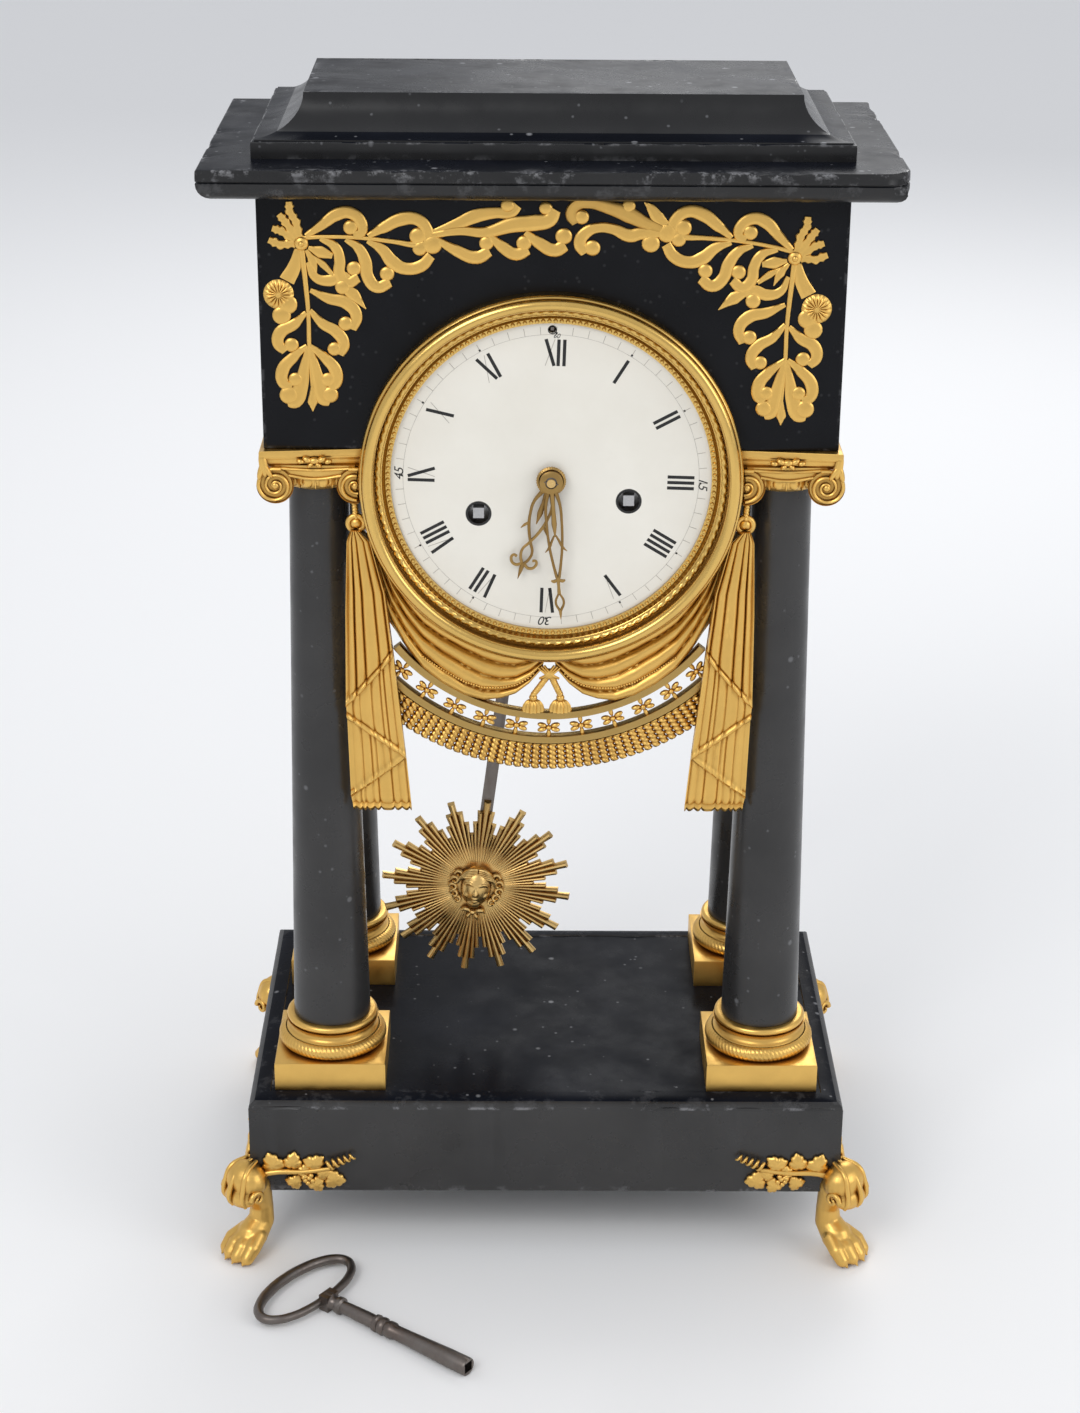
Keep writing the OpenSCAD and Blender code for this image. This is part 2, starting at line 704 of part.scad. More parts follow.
// Convex-edged enamel dial with its feet, winding holes and regulating hole
module dial() {
    color(ENAMEL)
        dial_frame([0, 0], dial_f - dial_t)
            difference() {
                union() {
                    cylinder(h = dial_t, r = drum_r - drum_wall - fit);
                    for (p = dial_feet_at)
                        translate([p[0], p[1], -motion_space - plate_t - 0.3])
                            cylinder(h = motion_space + plate_t + 0.6, r = dial_foot_r);
                }
                translate([0, 0, -1]) cylinder(h = dial_t + 2, r = 4.5);
                for (p = [going_at, strike_at])
                    translate([p[0], p[1], -1]) cylinder(h = dial_t + 2, r = winding_hole_r);
                translate([regulator_at[0], regulator_at[1], -1]) cylinder(h = dial_t + 2, r = 1.5);
            }
}

strap_x = drum_r - drum_wall - 2.4;

// Brass ring at the back, drawn against the frieze by the straps
module rear_ring() {
    color(BRASS)
        dial_frame([0, 0], -frieze_back - 2)
            difference() {
                cylinder(h = 2, r = ring_r);
                translate([0, 0, -1]) cylinder(h = 4, r = drum_r - 7.5);
                for (s = [-1, 1])
                    translate([s * (strap_x - 2), 0, -1]) cylinder(h = 4, r = 1.5);
            }
}

// Two brass straps from the dial to the back ring, each with its screw
module bezel_straps() {
    strap_l = dial_f - dial_t - fit + frieze_back;
    for (s = [0, 1])
        mirror([s, 0, 0])
            dial_frame([0, 0], -frieze_back) {
                color(BRASS)
                    difference() {
                        union() {
                            translate([strap_x, -4, 0]) cube([1.2, 8, strap_l]);
                            translate([strap_x - 5, -4, 0]) cube([6, 8, 4]);
                        }
                        translate([strap_x - 2, 0, -1]) cylinder(h = 6, r = 1.4 + run);
                    }
                color(STEEL)
                    translate([strap_x - 2, 0, -4]) {
                        cylinder(h = 7.6, r = 1.4);
                        cylinder(h = 2 - fit / 2, r = 3);
                    }
            }
}

winding_r = 2.5;
hammer_r = 1.2;
crutch_r = 1.2;
post_at = [30, -28];
lug_h = regulator_at[1] + 3.5;

// Round holes through a plate at a list of places
module plate_holes(places, r) {
    for (p = places)
        translate([p[0], p[1], -1]) cylinder(h = plate_t + 2, r = r);
}

pillar_at = [for (a = pillar_angles) polar(plate_r - 5, a)];
dial_feet_at = [for (a = dial_feet_angles) polar(dial_feet_r, a)];
rivet_r = 1.6;

// Front plate with the stud of the minute wheel and a lug for the regulating arbor
module front_plate() {
    color(BRASS)
        dial_frame([0, 0], front_plate_f)
            difference() {
                union() {
                    cylinder(h = plate_t, r = plate_r);
                    translate([-4, 0, 0]) cube([8, lug_h, plate_t]);
                    translate([minute_at[0], minute_at[1], 0]) cylinder(h = plate_t + 6, r = 1.2);
                }
                plate_holes([[0, 0]], 1.6 + run);
                plate_holes([going_at, strike_at], winding_r + run);
                plate_holes([first_at, third_at, escape_at, anchor_at, count_at, pin_at, fly_at, hammer_at],
                            pivot_r + run);
                plate_holes([regulator_at], 1 + run);
                plate_holes(dial_feet_at, dial_foot_r + run);
                plate_holes(pillar_at, rivet_r + run);
            }
}

// Back plate with holes for the pivots, the count wheel, the crutch and the hammer
module back_plate() {
    color(BRASS)
        dial_frame([0, 0], back_plate_f)
            difference() {
                cylinder(h = plate_t, r = plate_r);
                plate_holes([[0, 0], first_at, third_at, escape_at, pin_at, fly_at], pivot_r + run);
                plate_holes([going_at, strike_at], 1.5 + run);
                plate_holes([count_at, anchor_at, hammer_at], crutch_r + run);
                plate_holes(pillar_at, rivet_r + run);
            }
}

// Four turned pillars riveted through both plates
module plate_pillars() {
    color(BRASS)
        for (p = pillar_at)
            dial_frame(p, 0) {
                translate([0, 0, wheel_f]) cylinder(h = plate_gap, r = 2.6);
                translate([0, 0, back_plate_f]) cylinder(h = plate_gap + 2 * plate_t, r = rivet_r);
            }
}

barrel_bore = 3;

// Hollow spring barrel with its toothed rim, for either train
module barrel(at) {
    color(BRASS)
        dial_frame(at, barrel_f)
            difference() {
                union() {
                    cylinder(h = barrel_h, r = barrel_r);
                    gear(barrel_teeth, barrel_module, 2.6);
                }
                translate([0, 0, 1.4]) cylinder(h = barrel_h - 2.8, r = barrel_r - 1.2);
                translate([0, 0, -1]) cylinder(h = barrel_h + 2, r = barrel_bore);
            }
}

// Winding arbor that runs through a barrel, with a ratchet and a square for the key
module winding_arbor(at) {
    color(STEEL)
        dial_frame(at, 0) {
            translate([0, 0, back_plate_f]) cylinder(h = barrel_f - back_plate_f, r = 1.5);
            translate([0, 0, wheel_f + pass]) cylinder(h = plate_gap - 2 * pass, r = barrel_bore - run);
            translate([0, 0, front_plate_f - pass - 0.1]) cylinder(h = plate_t + 3, r = winding_r);
            translate([0, 0, motion_f + pass]) gear(24, 0.6, 1.6);
            translate([-winding_square / 2, -winding_square / 2, motion_f + pass + 1])
                cube([winding_square, winding_square, dial_f - motion_f - pass - 1.6]);
        }
}

arbor_r = 1;
hand_arbor_r = 1.6;

// Centre wheel and pinion on the arbor that carries the hands
module center_wheel() {
    color(BRASS)
        dial_frame([0, 0], 0) {
            arbor(arbor_r);
            translate([0, 0, front_plate_f - pass - 0.1])
                cylinder(h = dial_f + 6.4 - front_plate_f, r = hand_arbor_r);
            rotate(center_turn) {
                translate([0, 0, wheel_f + 0.8]) gear(center_pinion, second_module, 3.6);
                translate([0, 0, wheel_f + 5]) crossed_wheel(center_teeth, train_module, 1.5);
            }
        }
}

// Intermediate wheel between the going barrel and the centre pinion
module intermediate_wheel() {
    color(BRASS)
        dial_frame(first_at, 0) {
            arbor(arbor_r);
            rotate(first_turn) {
                translate([0, 0, wheel_f + 1]) crossed_wheel(second_wheel, second_module, 1.5);
                translate([0, 0, barrel_f - 0.5]) gear(first_pinion, barrel_module, 3.7);
            }
        }
}

module third_wheel() {
    color(BRASS)
        dial_frame(third_at, 0) {
            arbor(0.7);
            rotate(third_turn) {
                translate([0, 0, wheel_f + 4.8]) gear(third_pinion, train_module, 2.2);
                translate([0, 0, wheel_f + 8.2]) crossed_wheel(third_teeth, train_module, 1.5);
            }
        }
}

pallet_f = wheel_f + 11.8;
pallet_t = 1.2;

// Escape wheel with raked teeth
module escape_wheel() {
    step = 360 / escape_teeth;
    color(BRASS)
        dial_frame(escape_at, 0) {
            arbor(0.5);
            rotate(escape_turn) {
                translate([0, 0, wheel_f + 8]) gear(escape_pinion, train_module, 2);
                translate([0, 0, pallet_f])
                    linear_extrude(pallet_t)
                        difference() {
                            polygon([for (i = [0:escape_teeth - 1], k = [0:1])
                                polar(k == 0 ? escape_r - 1.6 : escape_r, step * (i + 0.75 * k))]);
                            for (i = [0:3])
                                rotate(90 * i) translate([4.4, 0]) circle(1.9);
                        }
            }
        }
}

crutch_f = back_plate_f - 3.4;
crutch_l = 32;
prong_x = pendulum_rod_w / 2 + 0.3 + 0.6;

// Anchor with its arbor, and the crutch that holds the pendulum rod between two prongs
module pallet_anchor() {
    arm = [[0, 2], [10.6, -4.2], [10.6, -7], [9.8, -7], [9, -4.6], [0, -1.6]];
    color(STEEL)
        dial_frame(anchor_at, 0)
            rotate(-pendulum_lean) {
                arbor(0.8);
                translate([0, 0, pallet_f])
                    linear_extrude(pallet_t) {
                        circle(2.2);
                        polygon(arm);
                        mirror([1, 0]) polygon(arm);
                    }
                translate([0, 0, crutch_f]) {
                    cylinder(h = back_plate_f + plate_t + 1 - crutch_f, r = crutch_r);
                    cylinder(h = 1.4, r = 2.4);
                    translate([-1, -crutch_l, 0]) cube([2, crutch_l, 1.4]);
                    translate([-prong_x - 0.6, -crutch_l - 0.6, 0]) cube([2 * prong_x + 1.2, 1.2, 1.4]);
                }
                for (s = [-1, 1])
                    translate([s * prong_x, -crutch_l, -2]) cylinder(h = crutch_f + 3, r = 0.6);
            }
}

hour_hand_f = dial_f + 2;
minute_hand_f = dial_f + 4;
minute_angle = 175.6;
hour_angle = 197.6;
hour_pipe_r = 3.9;
cannon_r = 2.95;
cannon_nose_r = 2.2;

// Cannon pinion with its long pipe
module cannon_pinion() {
    color(BRASS)
        dial_frame([0, 0], motion_f + 0.8)
            difference() {
                union() {
                    gear(cannon_teeth, motion_module, 2.5);
                    cylinder(h = minute_hand_f - fit - motion_f - 0.8, r = cannon_r);
                    cylinder(h = minute_hand_f + hand_t - motion_f - 0.8, r = cannon_nose_r);
                }
                translate([0, 0, -1]) cylinder(h = dial_f, r = hand_arbor_r + run);
            }
}

// Minute wheel and its pinion, loose on the stud of the front plate
module minute_wheel() {
    color(BRASS)
        dial_frame(minute_at, motion_f + 1.1)
            rotate(minute_turn)
                difference() {
                    union() {
                        gear(minute_teeth, motion_module, 1.5);
                        gear(minute_pinion, motion_module, 4.7);
                    }
                    translate([0, 0, -1]) cylinder(h = 8, r = 1.2 + run);
                }
}

// Hour wheel and its pipe, loose on the cannon pinion's pipe
module hour_wheel() {
    color(BRASS)
        dial_frame([0, 0], motion_f + 3.6)
            difference() {
                union() {
                    rotate(hour_turn) gear(hour_teeth, motion_module, 1.5);
                    cylinder(h = hour_hand_f + hand_t - motion_f - 3.6, r = hour_pipe_r);
                }
                translate([0, 0, -1]) cylinder(h = dial_f, r = cannon_r + run);
            }
}

// Pierced hour hand with a heart-shaped head
module hour_hand() {
    k = hour_hand_l / 39.5;
    half = [[2.4, 3], [3.6, 11 * k], [1.2, 20 * k], [4.6, 25 * k], [1, 29 * k]];
    hole = [[1.1, 6.5 * k], [2.1, 11 * k]];
    color(GILT)
        dial_frame([0, 0], hour_hand_f)
            rotate(-hour_angle)
                linear_extrude(hand_t)
                    difference() {
                        union() {
                            circle(5.6);
                            polygon(mirrored(half, hour_hand_l));
                        }
                        circle(hour_pipe_r + run);
                        polygon(mirrored(hole, 18.5 * k));
                    }
}

// Pierced minute hand
module minute_hand() {
    k = minute_hand_l / 52.5;
    half = [[2.2, 3], [3.2, 12 * k], [1.4, 24 * k], [0.9, 36 * k], [2, 41 * k]];
    hole = [[1, 6.5 * k], [1.9, 12 * k]];
    color(GILT)
        dial_frame([0, 0], minute_hand_f)
            rotate(-minute_angle)
                linear_extrude(hand_t)
                    difference() {
                        union() {
                            circle(4.8);
                            polygon(mirrored(half, minute_hand_l));
                        }
                        circle(cannon_nose_r + run);
                        polygon(mirrored(hole, 22 * k));
                    }
}

// Second wheel of the strike with the notched count disc behind the back plate
module count_wheel() {
    disc_r = 14;
    color(BRASS)
        dial_frame(count_at, 0) {
            arbor(arbor_r);
            rotate(count_turn) {
                translate([0, 0, wheel_f + 1]) crossed_wheel(count_teeth, second_module, 1.5);
                translate([0, 0, barrel_f - 0.5]) gear(first_pinion, barrel_module, 3.7);
            }
            translate([0, 0, back_plate_f - 3]) cylinder(h = plate_t + 4, r = crutch_r);
            translate([0, 0, back_plate_f - 3])
                linear_extrude(1.5)
                    difference() {
                        circle(disc_r);
                        for (i = [1:12])
                            rotate(360 * (i * (i + 1) / 2 + i) / 90)
                                translate([disc_r, 0])
                                    square([3, 1.4], center = true);
                    }
        }
}

pin_circle_r = 8;

// Pin wheel that lifts the hammer
module pin_wheel() {
    color(BRASS)
        dial_frame(pin_at, 0) {
            arbor(0.8);
            rotate(pin_turn) {
                translate([0, 0, wheel_f + 0.8]) gear(pin_pinion, second_module, 2.4);
                translate([0, 0, wheel_f + 4.4]) gear(pin_teeth, second_module, 1.5);
                for (i = [0:7])
                    rotate(45 * i) translate([pin_circle_r, 0, wheel_f + 5]) cylinder(h = 2.5, r = 0.5);
            }
        }
}

// Fly that brakes the strike
module fly() {
    color(BRASS)
        dial_frame(fly_at, 0) {
            arbor(0.6);
            rotate(fly_turn) translate([0, 0, wheel_f + 4.2]) gear(fly_pinion, second_module, 2.2);
            rotate(20) translate([-6.6, -0.35, wheel_f + 16]) cube([13.2, 0.7, 10]);
        }
}

bell_f = -12;
bell_l = 25;
hammer_f = bell_f - 2;

// Hammer on its own arbor, with a lifting tail between the plates
module hammer() {
    tail_l = norm(pin_at - hammer_at) - pin_circle_r - 0.5 - pass;
    head_x = -bell_r - pass;
    color(STEEL) {
        dial_frame(hammer_at, 0) {
            arbor(hammer_r);
            translate([0, 0, hammer_f - 1.2]) cylinder(h = wheel_f + 2 - hammer_f, r = hammer_r);
            rotate(angle_to(hammer_at, pin_at))
                translate([0, -0.8, wheel_f + 6.3])
                    cube([tail_l, 1.6, 1.2]);
        }
        dial_frame([0, 0], hammer_f) {
            limb([hammer_at[0], hammer_at[1], 0], [head_x - 3, 2, 0], 1.2, 1);
            translate([head_x - 6, 0, 0]) rotate([0, 90, 0]) cylinder(h = 6, r = 3.2);
        }
    }
}

// Thin bell, open to the front
module bell() {
    turn = [for (t = [0:6:84]) [cos(t), sin(t)]];
    n = len(turn);
    color(BRASS)
        dial_frame([0, 0], bell_f)
            rotate([180, 0, 0])
                difference() {
                    rotate_extrude()
                        polygon(concat([for (t = turn) [bell_r * t[0], bell_l * t[1]]],
                                       [[0, bell_l], [0, bell_l - bell_wall]],
                                       [for (i = [n - 1:-1:0]) [(bell_r - bell_wall) * turn[i][0],
                                                                (bell_l - bell_wall) * turn[i][1]]]));
                    cylinder(h = 2 * bell_l, r = 2.1);
                }
}

// Post and arm that hold the bell by its crown, with the nut inside the bell
module bell_stand() {
    arm_f = bell_f - bell_l - 1.8;
    color(STEEL) {
        dial_frame(post_at, arm_f - 1.8) cylinder(h = back_plate_f - arm_f + 1.8, r = 2);
        dial_frame([0, 0], 0) {
            translate([0, 0, arm_f])
                rotate([0, 90, angle_to(post_at, [0, 0])])
                    translate([0, 0, -norm(post_at)])
                        cylinder(h = norm(post_at) + 2, r = 1.8);
            translate([0, 0, arm_f]) cylinder(h = bell_wall + 5.2, r = 2);
            translate([0, 0, arm_f + 1.8 + bell_wall + pass]) cylinder(h = 2.5, r = 3.6, $fn = 6);
        }
    }
}

pin_r = 0.8;
cock_low = 4;

// Cock behind the back plate with the pin the pendulum hangs on and the end of the regulating arbor
module suspension_cock() {
    color(BRASS)
        dial_frame(anchor_at, 0)
            difference() {
                union() {
                    translate([-5, cock_low, -5]) cube([10, 10, back_plate_f + 5]);
                    translate([-4, -3, -5]) cube([8, 8, 1.6]);
                    translate([-4, 10, -5]) cube([8, lug_h - anchor_at[1] - 10, 3]);
                    translate([0, 0, -4]) cylinder(h = 6.5, r = pin_r);
                }
                translate([0, regulator_at[1] - anchor_at[1], -6]) cylinder(h = 6, r = 1 + run);
            }
}

// Arbor that is turned from the dial to regulate the clock
module regulator_arbor() {
    color(STEEL)
        dial_frame(regulator_at, 0) {
            translate([0, 0, -5]) cylinder(h = motion_f + 8, r = 1);
            translate([0, 0, front_plate_f - pass - 2]) cylinder(h = 2, r = 2);
            translate([0, 0, -1.6]) cylinder(h = 2, r = 2);
            translate([-0.6, -0.6, motion_f]) cube([1.2, 1.2, dial_f - motion_f - 0.6]);
        }
}

// Flat steel rod with an eye on the suspension pin, leaning at rest
module pendulum_rod() {
    rod_tail = 16;
    color(STEEL)
        dial_frame(anchor_at, -pendulum_rod_t / 2)
            rotate(-pendulum_lean)
                linear_extrude(pendulum_rod_t)
                    difference() {
                        union() {
                            circle(3.2);
                            translate([-pendulum_rod_w / 2, -pendulum_l - rod_tail])
                                square([pendulum_rod_w, pendulum_l + rod_tail]);
                        }
                        circle(pin_r + run);
                    }
}

rays = 16;

// Sunburst of stepped rays round a domed boss
module sunburst_bob() {
    step = 360 / rays;
    star = [for (i = [0:rays - 1], k = [0:4])
        polar(bob_r * [1, 0.9, 0.78, 0.72, 0.86][k], step * (i + 0.2 * k))];
    color(GILT)
        dial_frame(anchor_at, pendulum_rod_t / 2)
            rotate(-pendulum_lean)
                translate([0, -pendulum_l, 0]) {
                    linear_extrude(2.4) polygon(star);
                    linear_extrude(3.2) circle(0.62 * bob_r);
                    rotate_extrude()
                        polygon(concat([[0, 0]],
                                       [for (t = [0:15:90]) [0.36 * bob_r * cos(t), 2.8 + 6 * sin(t)]]));
                }
}

key_at = [-85, -114];
key_turn = -37.5;

// Winding key lying in front of the clock: oval bow, turned shaft and square socket
module winding_key() {
    wire = 2.3;
    bow_r = 11;
    bow_x = 14;
    socket_l = 14;
    socket_w = winding_square + 2 * fit;
    color(STEEL)
        translate([key_at[0], key_at[1], key_shaft_r])
            rotate(key_turn)
                difference() {
                    union() {
                        rotate([0, 90, 0]) cylinder(h = key_shaft_l, r = 0.7 * key_shaft_r);
                        for (x = [2, 6, 24, 28, 32])
                            translate([x, 0, 0]) rotate([0, 90, 0]) cylinder(h = 2, r = key_shaft_r);
                        translate([key_shaft_l - socket_l - 4, 0, 0])
                            rotate([0, 90, 0])
                                cylinder(h = socket_l + 4, r = key_shaft_r);
                        translate([-bow_r - wire / 2, 0, 0]) {
                            for (s = [-1, 1]) {
                                translate([0, s * bow_x, 0])
                                    rotate(s * 90 - 90)
                                        rotate_extrude(angle = 180) translate([bow_r, 0]) circle(wire);
                                translate([s * bow_r, bow_x, 0])
                                    rotate([90, 0, 0])
                                        cylinder(h = 2 * bow_x, r = wire);
                            }
                        }
                    }
                    translate([key_shaft_l - socket_l, -socket_w / 2, -socket_w / 2])
                        cube([socket_l + 1, socket_w, socket_w]);
                }
}

corner(-1, -1) paw_foot();  // foot_front_left
corner(1, -1) paw_foot();  // foot_front_right
corner(-1, 1) paw_foot();  // foot_rear_left
corner(1, 1) paw_foot();  // foot_rear_right
base_slab();
column_bases();
corner(-1, -1) column();  // column_front_left
corner(1, -1) column();  // column_front_right
corner(-1, 1) column();  // column_rear_left
corner(1, 1) column();  // column_rear_right
corner(-1, -1) capital(true);  // capital_front_left
corner(1, -1) capital(true);  // capital_front_right
corner(-1, 1) capital(false);  // capital_rear_left
corner(1, 1) capital(false);  // capital_rear_right
tie_rods();
tie_rod_nuts();
frieze_block();
cornice_slab();
cap_block();
mirror([1, 0, 0]) scroll_mount();  // scroll_mount_left
scroll_mount();  // scroll_mount_right
side_mounts();
mirror([1, 0, 0]) drape_tail();  // drape_tail_left
drape_tail();  // drape_tail_right
drape_swag();
floret_band();
bullion_fringe();
drum_case();
bezel();
dial();
rear_ring();
bezel_straps();
front_plate();
back_plate();
plate_pillars();
barrel(going_at);  // going_barrel
winding_arbor(going_at);  // going_arbor
barrel(strike_at);  // strike_barrel
winding_arbor(strike_at);  // strike_arbor
center_wheel();
intermediate_wheel();
third_wheel();
escape_wheel();
pallet_anchor();
cannon_pinion();
minute_wheel();
hour_wheel();
hour_hand();
minute_hand();
count_wheel();
pin_wheel();
fly();
hammer();
bell();
bell_stand();
suspension_cock();
regulator_arbor();
pendulum_rod();
sunburst_bob();
winding_key();
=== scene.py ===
import json
import math

import bmesh
import bpy
from mathutils import Matrix, Vector, noise


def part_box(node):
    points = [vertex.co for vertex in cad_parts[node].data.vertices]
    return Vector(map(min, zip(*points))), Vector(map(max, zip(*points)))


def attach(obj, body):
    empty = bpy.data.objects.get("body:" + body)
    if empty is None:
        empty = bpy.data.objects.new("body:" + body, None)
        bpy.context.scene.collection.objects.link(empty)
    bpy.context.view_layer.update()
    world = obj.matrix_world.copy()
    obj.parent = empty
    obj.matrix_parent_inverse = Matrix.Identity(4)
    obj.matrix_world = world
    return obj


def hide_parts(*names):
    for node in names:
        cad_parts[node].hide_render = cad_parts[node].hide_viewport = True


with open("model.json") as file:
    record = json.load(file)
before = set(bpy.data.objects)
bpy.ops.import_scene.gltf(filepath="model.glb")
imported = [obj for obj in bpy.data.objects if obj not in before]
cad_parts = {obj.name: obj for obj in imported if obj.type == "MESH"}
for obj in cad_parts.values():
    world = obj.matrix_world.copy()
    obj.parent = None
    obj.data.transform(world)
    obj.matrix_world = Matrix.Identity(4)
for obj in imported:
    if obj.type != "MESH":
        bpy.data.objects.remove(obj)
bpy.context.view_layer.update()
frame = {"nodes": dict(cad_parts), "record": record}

nodes = frame["nodes"]
scene = bpy.context.scene

# Stage: a pale studio floor, three large soft lamps and an even sky.
# The camera stands a little above the cornice and looks down at the dial.
MM = 0.001
PHOTO_H = 1413
FOCAL_PX = 2722.6
SENSOR_MM = 36
CAMERA_AT = Vector((-11.2, -1006.6, 635.6)) * MM
PITCH, YAW, ROLL = (math.radians(a) for a in (22.99, 0.47, 0.43))
FLOOR_HALF = 9
FLOOR_COLOUR = (0.92, 0.92, 0.915, 1)
SKY_COLOUR = (0.93, 0.95, 1, 1)
SKY_STRENGTH = 0.7

ahead = Vector((math.sin(YAW) * math.cos(PITCH), math.cos(YAW) * math.cos(PITCH), -math.sin(PITCH)))
level_right = Vector((math.cos(YAW), -math.sin(YAW), 0))
level_up = level_right.cross(ahead)
right = level_right * math.cos(ROLL) + level_up * math.sin(ROLL)
up = level_up * math.cos(ROLL) - level_right * math.sin(ROLL)
lens = bpy.data.cameras.new("camera")
lens.sensor_width = SENSOR_MM
lens.lens = FOCAL_PX * SENSOR_MM / PHOTO_H
lens.clip_end = 50
camera = bpy.data.objects.new("camera", lens)
camera.matrix_world = Matrix((right, up, -ahead)).transposed().to_4x4()
camera.location = CAMERA_AT
scene.collection.objects.link(camera)
scene.camera = camera
scene.view_settings.view_transform = "Standard"

world = bpy.data.worlds.new("sky")
scene.world = world
world.use_nodes = True
world.node_tree.nodes["Background"].inputs["Color"].default_value = SKY_COLOUR
world.node_tree.nodes["Background"].inputs["Strength"].default_value = SKY_STRENGTH


def soft_lamp(name, place, aim, size, watts):
    """A large square lamp at a place, turned to a point, both in metres."""
    lamp = bpy.data.lights.new(name, "AREA")
    lamp.size = size
    lamp.energy = watts
    obj = bpy.data.objects.new(name, lamp)
    obj.location = place
    obj.rotation_euler = (Vector(aim) - Vector(place)).to_track_quat("-Z", "Y").to_euler()
    scene.collection.objects.link(obj)


CLOCK_MIDDLE = (0, 0, 0.25)
soft_lamp("key_lamp", (-0.75, -1.25, 1.35), CLOCK_MIDDLE, 0.8, 10)
soft_lamp("fill_lamp", (1.3, -0.8, 0.8), CLOCK_MIDDLE, 0.9, 5)
soft_lamp("back_lamp", (0.3, 1.4, 1.2), CLOCK_MIDDLE, 0.8, 7)


def new_material(name):
    """A material with its own shader, ready for more nodes."""
    material = bpy.data.materials.new(name)
    material.use_nodes = True
    return material


def shader_of(material):
    return material.node_tree.nodes["Principled BSDF"]


floor_bm = bmesh.new()
bmesh.ops.create_grid(floor_bm, x_segments=1, y_segments=1, size=FLOOR_HALF)
floor_mesh = bpy.data.meshes.new("floor")
floor_bm.to_mesh(floor_mesh)
floor_bm.free()
floor = bpy.data.objects.new("floor", floor_mesh)
scene.collection.objects.link(floor)
floor_paint = new_material("floor_paint")
shader_of(floor_paint).inputs["Base Color"].default_value = FLOOR_COLOUR
shader_of(floor_paint).inputs["Roughness"].default_value = 0.9
floor_mesh.materials.append(floor_paint)


# Feet: four cast lion paws that grip the corners of the base, with a leafy scrolled knee and
# sprays of vine leaves, grapes and a corkscrew tendril along the two faces beside each corner.
# They are gilt, rubbed bright on their high places, with painted shade darkening their hollows towards
# brown.
base_low, base_high = (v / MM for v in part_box("base_slab"))
BASE_HALF_W = base_high.x
BASE_HALF_D = base_high.y
FOOT_H = base_low.z
LEG_LIMBS = (((-2, 0, 31), (-5, 0, 20.5), 6.6, 4.7), ((-5, 0, 20.5), (-4.6, 0, 13), 4.7, 5.2),
             ((-4.6, 0, 13), (0.5, 0, 8.2), 5.2, 6.4))
TOE_SPREAD = (-6.2, -2.1, 2.1, 6.2)
KNEE_RIBS = (-5.4, 0, 5.4)
VINE_LEAVES = ((9, 13, 5, 110), (17, 14.2, 4.2, 80), (25.6, 13.4, 4.5, 40), (17.6, 5.2, 3.6, -70),
               (26.2, 4.2, 3.8, -60), (33.4, 6.2, 4.4, -10), (29, 9, 3.4, 10), (21.5, 10.2, 3.4, 60))
GRAPES = ((22, 6.4), (23.6, 7.4), (23, 5.2), (24.8, 6.2), (21.4, 7.8), (24.2, 8.6))
TENDRIL_FROM, TENDRIL_TO, TENDRIL_TURNS = (31.5, 13.2), (41.5, 17.6), 4.5
# Reach of the ambient occlusion that paints shade into the hollows of the gilding, in millimetres.
AO_SHADE_MM = 3
SMOOTH_ROUNDS = 2
CORNERS = (("front_left", -1, -1), ("front_right", 1, -1), ("rear_left", -1, 1), ("rear_right", 1, 1))


def add_node(material, kind, **settings):
    """A shader node with some of its settings and inputs set by name."""
    node = material.node_tree.nodes.new(kind)
    for key, value in settings.items():
        if hasattr(node, key):
            setattr(node, key, value)
        else:
            node.inputs[key.replace("_", " ")].default_value = value
    return node


def object_coords(material):
    return add_node(material, "ShaderNodeTexCoord").outputs["Object"]


def noise_at(material, scale, detail=4, roughness=0.6, stretch=None):
    """Noise on Object coordinates, in waves per metre, drawn out along an axis if asked."""
    links = material.node_tree.links
    coords = object_coords(material)
    if stretch:
        mapping = add_node(material, "ShaderNodeMapping", Scale=stretch)
        links.new(coords, mapping.inputs["Vector"])
        coords = mapping.outputs["Vector"]
    node = add_node(material, "ShaderNodeTexNoise", Scale=scale, Detail=detail, Roughness=roughness)
    links.new(coords, node.inputs["Vector"])
    return node.outputs["Fac"]


def ramp(material, value, low, high, colours=((0, 0, 0, 1), (1, 1, 1, 1))):
    """Maps a value between low and high onto a run of colours."""
    node = add_node(material, "ShaderNodeValToRGB")
    node.color_ramp.elements[0].position = low
    node.color_ramp.elements[0].color = colours[0]
    node.color_ramp.elements[1].position = high
    node.color_ramp.elements[1].color = colours[1]
    material.node_tree.links.new(value, node.inputs["Fac"])
    return node.outputs["Color"]


def mix(material, factor, a, b):
    """Mixes two colours, each a socket or a plain colour, by a socket or a number."""
    node = add_node(material, "ShaderNodeMix", data_type="RGBA")
    for socket, value in (("Factor", factor), ("A", a), ("B", b)):
        target = [s for s in node.inputs if s.name == socket and s.enabled][0]
        if isinstance(value, bpy.types.NodeSocket):
            material.node_tree.links.new(value, target)
        else:
            target.default_value = value
    return [s for s in node.outputs if s.enabled][0]


def maths(material, operation, a, b):
    node = add_node(material, "ShaderNodeMath", operation=operation)
    for socket, value in zip(node.inputs, (a, b)):
        if isinstance(value, bpy.types.NodeSocket):
            material.node_tree.links.new(value, socket)
        else:
            socket.default_value = value
    return node.outputs["Value"]


